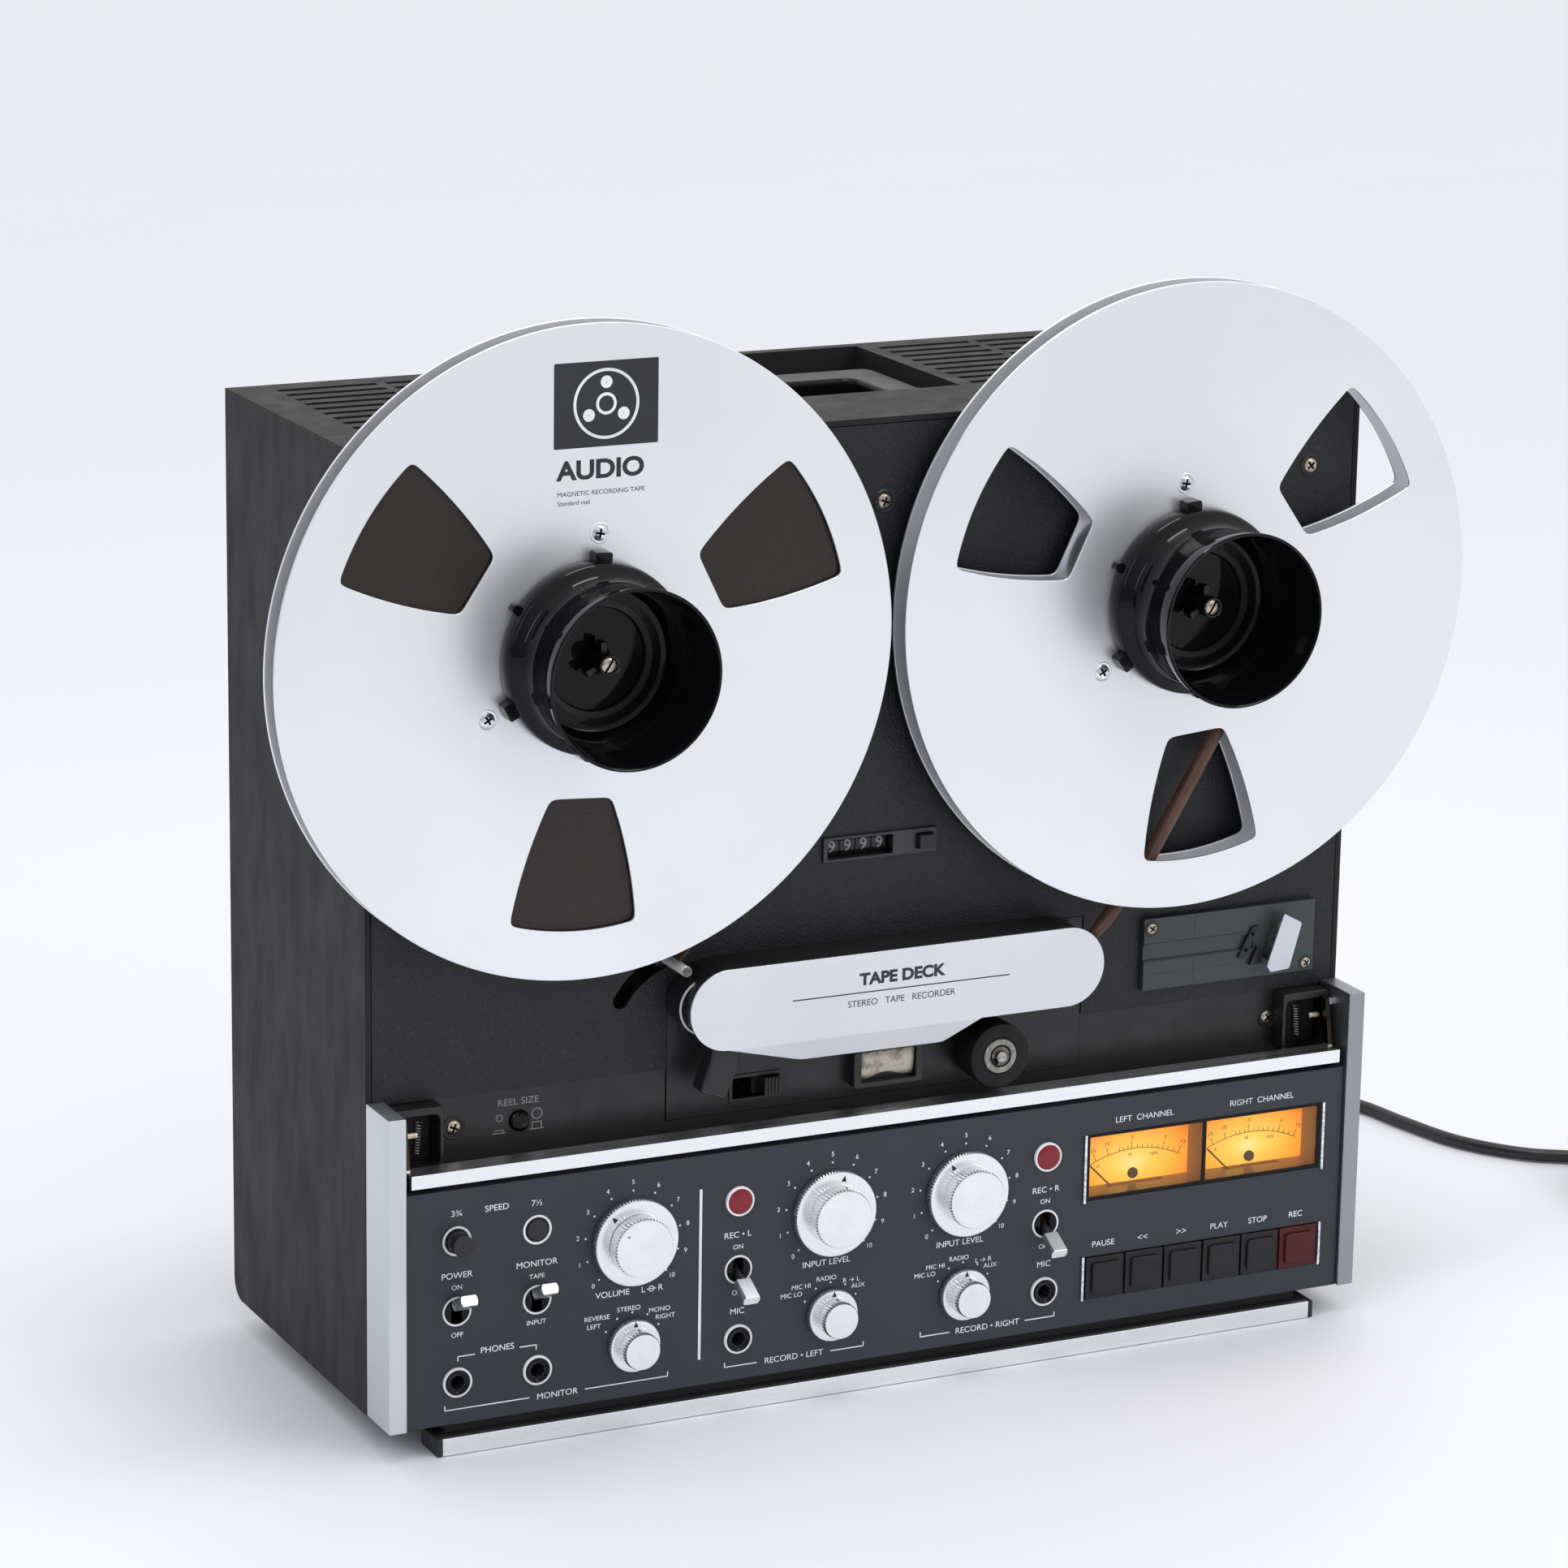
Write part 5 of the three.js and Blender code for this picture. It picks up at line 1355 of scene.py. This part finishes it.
def jacks_lamps_and_buttons():
    bush = [
        (3.2, -8), (3.2, -23.4), (3.6, -24.1), (4.6, -24.6), (5.1, -24.5), (5.3, -24.0), (5.3, -23.9),
        (3.4, -23.9), (3.3, -8), (3.2, -8),
    ]
    for index, x in enumerate(COLUMNS):
        lathe(f"jack_bush_{index}", bush, GLOSS, "deck", x, ROW["jack"], 48)
    lamp = [(0, -25.1), (2.4, -25.0), (4.2, -24.8), (5.3, -24.4), (5.4, -24.12), (0, -24.12)]
    for index, x in enumerate(COLUMNS[2:]):
        lathe(f"record_lamp_{index}", lamp, LAMP, "deck", x, ROW["lamp"], 64)
    for name, x, front in (("speed_slow", SLOW_X, -30.4), ("speed_fast", FAST_X, -23.6)):
        rear = front + 16.4
        cap = [(0, front + 0.25), (3.2, front + 0.12), (4.0, front), (4.4, front + 0.3), (4.5, front + 0.8),
               (4.5, rear), (0, rear)]
        lathe(f"{name}_cap", cap, BLACK, name, x, ROW["lamp"], 64, [f"{name}_button"])


knobs()
toggle("power_toggle", SLOW_X, -TOGGLE_TILT)
toggle("monitor_toggle", FAST_X, -TOGGLE_TILT)
toggle("record_left_toggle", RECORD_LEFT_X, TOGGLE_TILT)
toggle("record_right_toggle", RECORD_RIGHT_X, TOGGLE_TILT)
panel_rings()
jacks_lamps_and_buttons()


def panel_print():
    """All white lettering, scales and brackets on the control panel."""
    y = PANEL_Y - 0.01
    words = [
        ("3¾", -195.9, 102.1, 2.7), ("SPEED", -178.5, 102.3, 2.7), ("7½", -160.9, 101.9, 2.7),
        ("POWER", -195.9, 75.8, 2.7), ("ON", -195.9, 70.7, 2.1), ("OFF", -195.8, 50.4, 2.1),
        ("MONITOR", -161.0, 76.0, 2.7), ("TAPE", -160.9, 70.5, 2.1), ("INPUT", -161.1, 50.8, 2.1),
        ("PHONES", -178.2, 42.1, 2.7), ("MONITOR", -151.7, 18.4, 2.7), ("VOLUME", -127.3, 58.0, 2.7),
        ("L", -113.6, 57.9, 2.7), ("R", -105.9, 57.9, 2.7),
        ("STEREO", -120.0, 50.6, 2.1), ("REVERSE", -134.2, 48.4, 2.1), ("LEFT", -135.6, 44.9, 2.1),
        ("MONO", -106.2, 48.4, 2.1), ("RIGHT", -103.6, 45.1, 2.1),
        ("REC • L", -71.1, 75.7, 2.7), ("ON", -70.8, 70.4, 2.1), ("OFF", -70.8, 50.4, 2.1),
        ("MIC", -70.9, 42.3, 2.7), ("REC • R", 72.9, 75.7, 2.7), ("ON", 72.8, 70.5, 2.1),
        ("OFF", 72.8, 50.4, 2.1), ("MIC", 72.9, 42.4, 2.7),
        ("INPUT LEVEL", -30.1, 57.9, 2.7), ("RADIO", -30.0, 50.8, 2.1), ("MIC HI", -41.6, 48.7, 2.1),
        ("MIC LO", -46.1, 45.5, 2.1), ("R → L", -18.4, 48.6, 2.1), ("AUX", -15.2, 45.7, 2.1),
        ("RECORD • LEFT", -44.5, 18.4, 2.7),
        ("INPUT LEVEL", 32.3, 57.9, 2.7), ("RADIO", 32.2, 50.8, 2.1), ("MIC HI", 21.0, 48.6, 2.1),
        ("MIC LO", 16.1, 45.5, 2.1), ("L → R", 43.8, 48.6, 2.1), ("AUX", 47.1, 45.7, 2.1),
        ("RECORD • RIGHT", 46.5, 18.3, 2.7),
        ("LEFT  CHANNEL", 119.8, 102.3, 2.7), ("RIGHT  CHANNEL", 177.4, 102.4, 2.7),
        ("PAUSE", 101.5, 47.8, 2.7), ("<<", 120.8, 47.8, 3.2), (">>", 139.7, 47.8, 3.2),
        ("PLAY", 158.4, 47.8, 2.7), ("STOP", 177.6, 47.8, 2.7), ("REC", 196.7, 47.8, 2.7),
    ]
    meshes = [text_mesh(text, x, z, size, y, stretch=1.06) for text, x, z, size in words]
    thin, thick = 0.45, 1.2
    brackets = [
        (-195.7, -160.9, 41.1, 39.0, (-188.0, -168.4)), (-201.4, -102.0, 18.6, 20.6, (-164.0, -139.4)),
        (-76.6, -12.0, 18.4, 20.4, (-61.5, -27.5)), (14.4, 78.8, 18.3, 20.3, (28.5, 64.5)),
    ]
    for left, right, z, tip, (gap_left, gap_right) in brackets:
        meshes += [
            line_mesh(left, z, gap_left, z, thin, y), line_mesh(gap_right, z, right, z, thin, y),
            line_mesh(left + thin / 2, z, left + thin / 2, tip, thin, y),
            line_mesh(right - thin / 2, z, right - thin / 2, tip, thin, y),
        ]
    meshes.append(line_mesh(-88, 23.6, -88, 97.7, thick, y))
    meshes.append(ring_mesh(0.9, 1.3, -109.9, 57.9, y))
    meshes.append(line_mesh(-112.0, 57.9, -107.8, 57.9, 0.4, y))
    for x in (VOLUME_X, LEFT_LEVEL_X, RIGHT_LEVEL_X):
        for number in range(11):
            angle = 90 - (number - 5) * 27
            meshes.append(ring_mesh(0.02, 0.42, *polar(21.3, angle, x, ROW["knob"]), y))
            meshes.append(text_mesh(str(number), *polar(24.9, angle, x, ROW["knob"]), 2.1, y))
        for angle in range(30, 151, 30):
            meshes.append(ring_mesh(0.02, 0.42, *polar(13.6, angle, x, ROW["selector"]), y))
    merged("panel_print", meshes, WHITE_INK, "deck")


panel_print()


def keys():
    """Six transport keys, each a pad on a base, and the silver rods beside the keys and meters."""
    for name in ("pause_key", "rewind_key", "fast_forward_key", "play_key", "stop_key", "record_key"):
        lo, hi = deck_box(name)
        shader = RECORD_KEY if name == "record_key" else KEY
        base = rectangle(lo.x + 0.1, hi.x - 0.1, lo.z + 0.1, hi.z - 0.1, 0.6)
        pad = rectangle(lo.x + 2.6, hi.x - 2.2, lo.z + 2.4, hi.z - 2.6, 1.8)
        meshes = [plate_mesh([base], lo.y + 1.5, hi.y, 0.35, 3), plate_mesh([pad], lo.y, lo.y + 2.2, 0.75, 4)]
        merged(f"{name}_cap", meshes, shader, name, [name])
    for name, x, low, high in (
        ("meter_left", 91.3, 67.0, 97.6), ("meter_right", 208.3, 67.0, 97.6),
        ("key_left", 91.5, 23.2, 43.0), ("key_right", 208.5, 23.2, 43.0),
    ):
        xs = (x - 0.65, x + 0.65)
        block(f"{name}_rod", xs, (-24.3, -22.8), (low, high), ROD, "deck", bevel=0.45, steps=4)


keys()

# ---------------------------------------------------------------------------
# Level meters
# ---------------------------------------------------------------------------

DIAL_Y, DIAL_MARK_Y = -10.02, -10.4
ARC_FIRST, ARC_LAST, ARC_RADIUS, ARC_Z = 116.0, 63.5, 50.2, 33.6
LONG_TICKS = {0: "-20", 8: "-15", 22: "-10", 47: "-5", 80: "0", 98: "+3"}
SHORT_TICKS = (34, 38, 43, 53, 58, 63, 68, 74, 86, 92)
INNER_NUMBERS = {45: "50", 72: "100%", 8: "10"}


def dial_marks(x, right):
    """An arc with ticks and numbers. A tick's key is its share of the arc in hundredths."""
    y = DIAL_MARK_Y

    def on_arc(share, beyond=0.0):
        angle = ARC_FIRST + (ARC_LAST - ARC_FIRST) * share / 100
        return polar(ARC_RADIUS + beyond, angle, x + 0.6, ARC_Z)

    points = [on_arc(100 * step / 30) for step in range(31)]
    marks = [line_mesh(*a, *b, 0.32, y, 0.03) for a, b in zip(points, points[1:])]
    for share in (*LONG_TICKS, *SHORT_TICKS):
        reach = 3.4 if share in LONG_TICKS else 1.8
        marks.append(line_mesh(*on_arc(share), *on_arc(share, reach), 0.3, y, 0.03))
    for share, label in LONG_TICKS.items():
        if share:
            lean = (ARC_FIRST + (ARC_LAST - ARC_FIRST) * share / 100 - 90) * 0.6
            marks.append(text_mesh(label, *on_arc(share, 5.2), 1.9, y, angle=lean))
    for share, label in INNER_NUMBERS.items():
        marks.append(text_mesh(label, *on_arc(share, -2.6), 1.4, y))
    marks.append(text_mesh("VU", right - 6.0, 93.2, 1.9, y))
    return marks


def meters():
    """Two lit dials in one box, with bosses for the needles, a bezel and a pane."""
    # The meter box carries the painted glow of the dials' light, which darkens to painted shade towards the
    # glass.
    dress("meter_unit", DIAL_GLOW_WALL)
    boss = [(0, -11.6), (1.6, -11.6), (2.3, -11.3), (2.4, -10.9), (2.4, -10.3), (0, -10.3)]
    for side, left, x, right in (("left", 94.1, 121.8, 148.9), ("right", 150.9, 179.4, 205.7)):
        shader = dial_material(f"{side}_dial_glow", x - 0.5, 77.5)
        dial = plate_mesh([rectangle(left + 0.05, right - 0.05, 69.4, 95.7)], DIAL_Y - 0.33, DIAL_Y, 0.02)
        piece(f"{side}_dial", dial, shader, "deck")
        merged(f"{side}_dial_scale", dial_marks(x, right), DIAL_INK, "deck")
        lathe(f"{side}_dial_boss", boss, MATTE, "deck", x, 72.9, 40)
        dress(f"{side}_meter_needle", DIAL_INK)
    glass = Shader("meter_glass", (0.9, 0.6, 0.3), 0.06, Alpha=0.07)
    glass.rough(glass.noise(60), 0.02)
    bezel_loops = [
        rectangle(92.75, 207.05, 67.85, 97.25, 0.5), rectangle(94.0, 149.1, 69.3, 95.9, 0.4),
        rectangle(150.7, 205.8, 69.3, 95.9, 0.4),
    ]
    plate("meter_bezel", bezel_loops, -22.75, -21.6, GLOSS, "deck", bevel=0.2)
    plate("meter_pane", [rectangle(93.2, 206.6, 68.3, 96.8, 0.4)], -22.2, -21.9, glass, "deck", bevel=0.02)


meters()

# ---------------------------------------------------------------------------
# Trims, cover bar, foot bar
# ---------------------------------------------------------------------------

# The right trim gets the darker copy of the aluminium, as painted shade.
for node, shader in (("left_trim", TRIM), ("right_trim", PAINTED_SHADE_TRIM)):
    lo, hi = deck_box(node)
    block(f"{node}_profile", (lo.x, hi.x), (lo.y, hi.y), (lo.z, hi.z), shader, "deck", [node], 0.5, 3)
dress("cover_bar", COVER_BAR, 0.25)


def hinge_details(tag, sign):
    """One pocket of the cover bar's hinge: housing, spring, pin and stud."""
    turns = 11
    spring = []
    for step in range(turns * 16 + 1):
        t = step / (turns * 16)
        angle = 2 * math.pi * turns * t
        x = sign * (203.9 + 1.0 * t) - 2.6 + 1.5 * math.cos(angle)
        spring.append((x, -8.0 + 1.5 * math.sin(angle), 137.2 - 12.6 * t))
    wire(f"{tag}_hinge_spring", spring, 0.30, DARK_STEEL, "deck", 2)
    wire(f"{tag}_hinge_pin", [(sign * 213.6, -10, 138.2), (sign * 218.2, -10, 138.2)], 2.0, CHROME, "deck")
    wire(f"{tag}_hinge_stud", [(sign * 207.6, -8.5, 132.4), (sign * 212.6, -8.5, 132.4)], 1.5, NICKEL, "deck")
    outer = [(sign * 218.0, 117.2), (sign * 195.4, 117.2), (sign * 195.4, 143.0), (sign * 218.0, 143.0)]
    inner = [(sign * 217.0, 117.6), (sign * 197.0, 117.6), (sign * 197.0, 139.8), (sign * 217.0, 139.8)]
    loops = [rounded(outer, 1.2), rounded(inner, 3.2)]
    plate(f"{tag}_hinge_housing", loops, -8.2, 0.6, LOWER, "deck", bevel=0.5, bevel_steps=3)
    xs = sorted((sign * 197.2, sign * 217.8))
    block(f"{tag}_hinge_back", xs, (3.2, 4.4), (117.2, 139.4), MATTE, "deck", bevel=0.1)


def foot_bar():
    """An aluminium face on a black rail, with a rubber end cap on each end."""
    lo, hi = deck_box("foot_bar")
    top = 7.8
    xs = (lo.x + 2.4, hi.x - 2.4)
    block("foot_bar_face", xs, (-26.1, -23.6), (0.3, top), BAR, "deck", ["foot_bar"], 0.3)
    block("foot_bar_rail", (lo.x + 2, hi.x - 2), (-23.7, -8), (0.05, top - 0.1), RUBBER, "deck", bevel=0.4)
    block("foot_bar_riser", (lo.x + 6, hi.x - 6), (-19, -9), (7, 12.1), MATTE, "deck", bevel=0.3)
    for tag, xs in (("left", (lo.x, lo.x + 2.5)), ("right", (hi.x - 2.5, hi.x))):
        block(f"foot_cap_{tag}", xs, (-26, -8), (0, top), RUBBER, "deck", bevel=0.7, steps=4)


hinge_details("left", -1)
hinge_details("right", 1)
foot_bar()

# ---------------------------------------------------------------------------
# Floor and light
# ---------------------------------------------------------------------------

FLOOR_HALF, FLOOR_FRONT = 30, -2.6     # metres


def floor():
    """A wide pale sheet that ends a little way in front of the deck."""
    bm = bmesh.new()
    bmesh.ops.create_grid(bm, x_segments=1, y_segments=1, size=FLOOR_HALF)
    for vertex in bm.verts:
        vertex.co.y = max(vertex.co.y, FLOOR_FRONT)
    mesh = to_mesh(bm, "floor")
    shader = Shader("floor_paper", (0.80, 0.81, 0.85), 0.55)
    shader.rough(shader.noise(3), 0.05)
    mesh.materials.append(shader.material)
    add_object("floor", mesh)


def area_light(name, place, target, size, power, colour=(1, 1, 1)):
    data = bpy.data.lights.new(name, "AREA")
    data.shape = "RECTANGLE"
    data.size, data.size_y = size
    data.energy, data.color = power, colour
    lamp = add_object(name, data)
    lamp.location = place
    lamp.rotation_mode = "QUATERNION"
    lamp.rotation_quaternion = (Vector(target) - Vector(place)).to_track_quat("-Z", "Y")


def studio_world():
    """An even dome that is brighter overhead and to the right and darker on the left."""
    world = bpy.data.worlds.new("studio")
    world.use_nodes = True
    tree = world.node_tree
    background = tree.nodes["Background"]
    background.inputs["Strength"].default_value = 1.14
    direction = tree.nodes.new("ShaderNodeTexCoord")
    along = tree.nodes.new("ShaderNodeVectorMath")
    along.operation = "DOT_PRODUCT"
    tree.links.new(direction.outputs["Generated"], along.inputs[0])
    along.inputs[1].default_value = Vector((0.42, 0.22, 0.88)).normalized()
    share = tree.nodes.new("ShaderNodeMapRange")
    share.inputs["From Min"].default_value = -1
    tree.links.new(along.outputs["Value"], share.inputs["Value"])
    ramp = tree.nodes.new("ShaderNodeValToRGB")
    tree.links.new(share.outputs["Result"], ramp.inputs["Fac"])
    dim, bright = ramp.color_ramp.elements
    dim.position, dim.color = 0.22, (0.22, 0.23, 0.28, 1)
    bright.position, bright.color = 0.90, (1.0, 1.0, 1.0, 1)
    tree.links.new(ramp.outputs["Color"], background.inputs["Color"])
    bpy.context.scene.world = world


floor()
studio_world()
bpy.context.scene.view_settings.view_transform = "Standard"
area_light("overhead", (0.0, -0.15, 1.7), (0, 0, 0.2), (0.6, 0.35), 7)
area_light("front_right", (1.3, -2.2, 1.7), (0, 0, 0.2), (0.8, 0.8), 7, (1.0, 0.99, 0.97))
area_light("left_strip", (-1.9, -0.9, 1.3), (0, 0, 0.3), (0.2, 1.2), 4, (0.92, 0.96, 1.0))
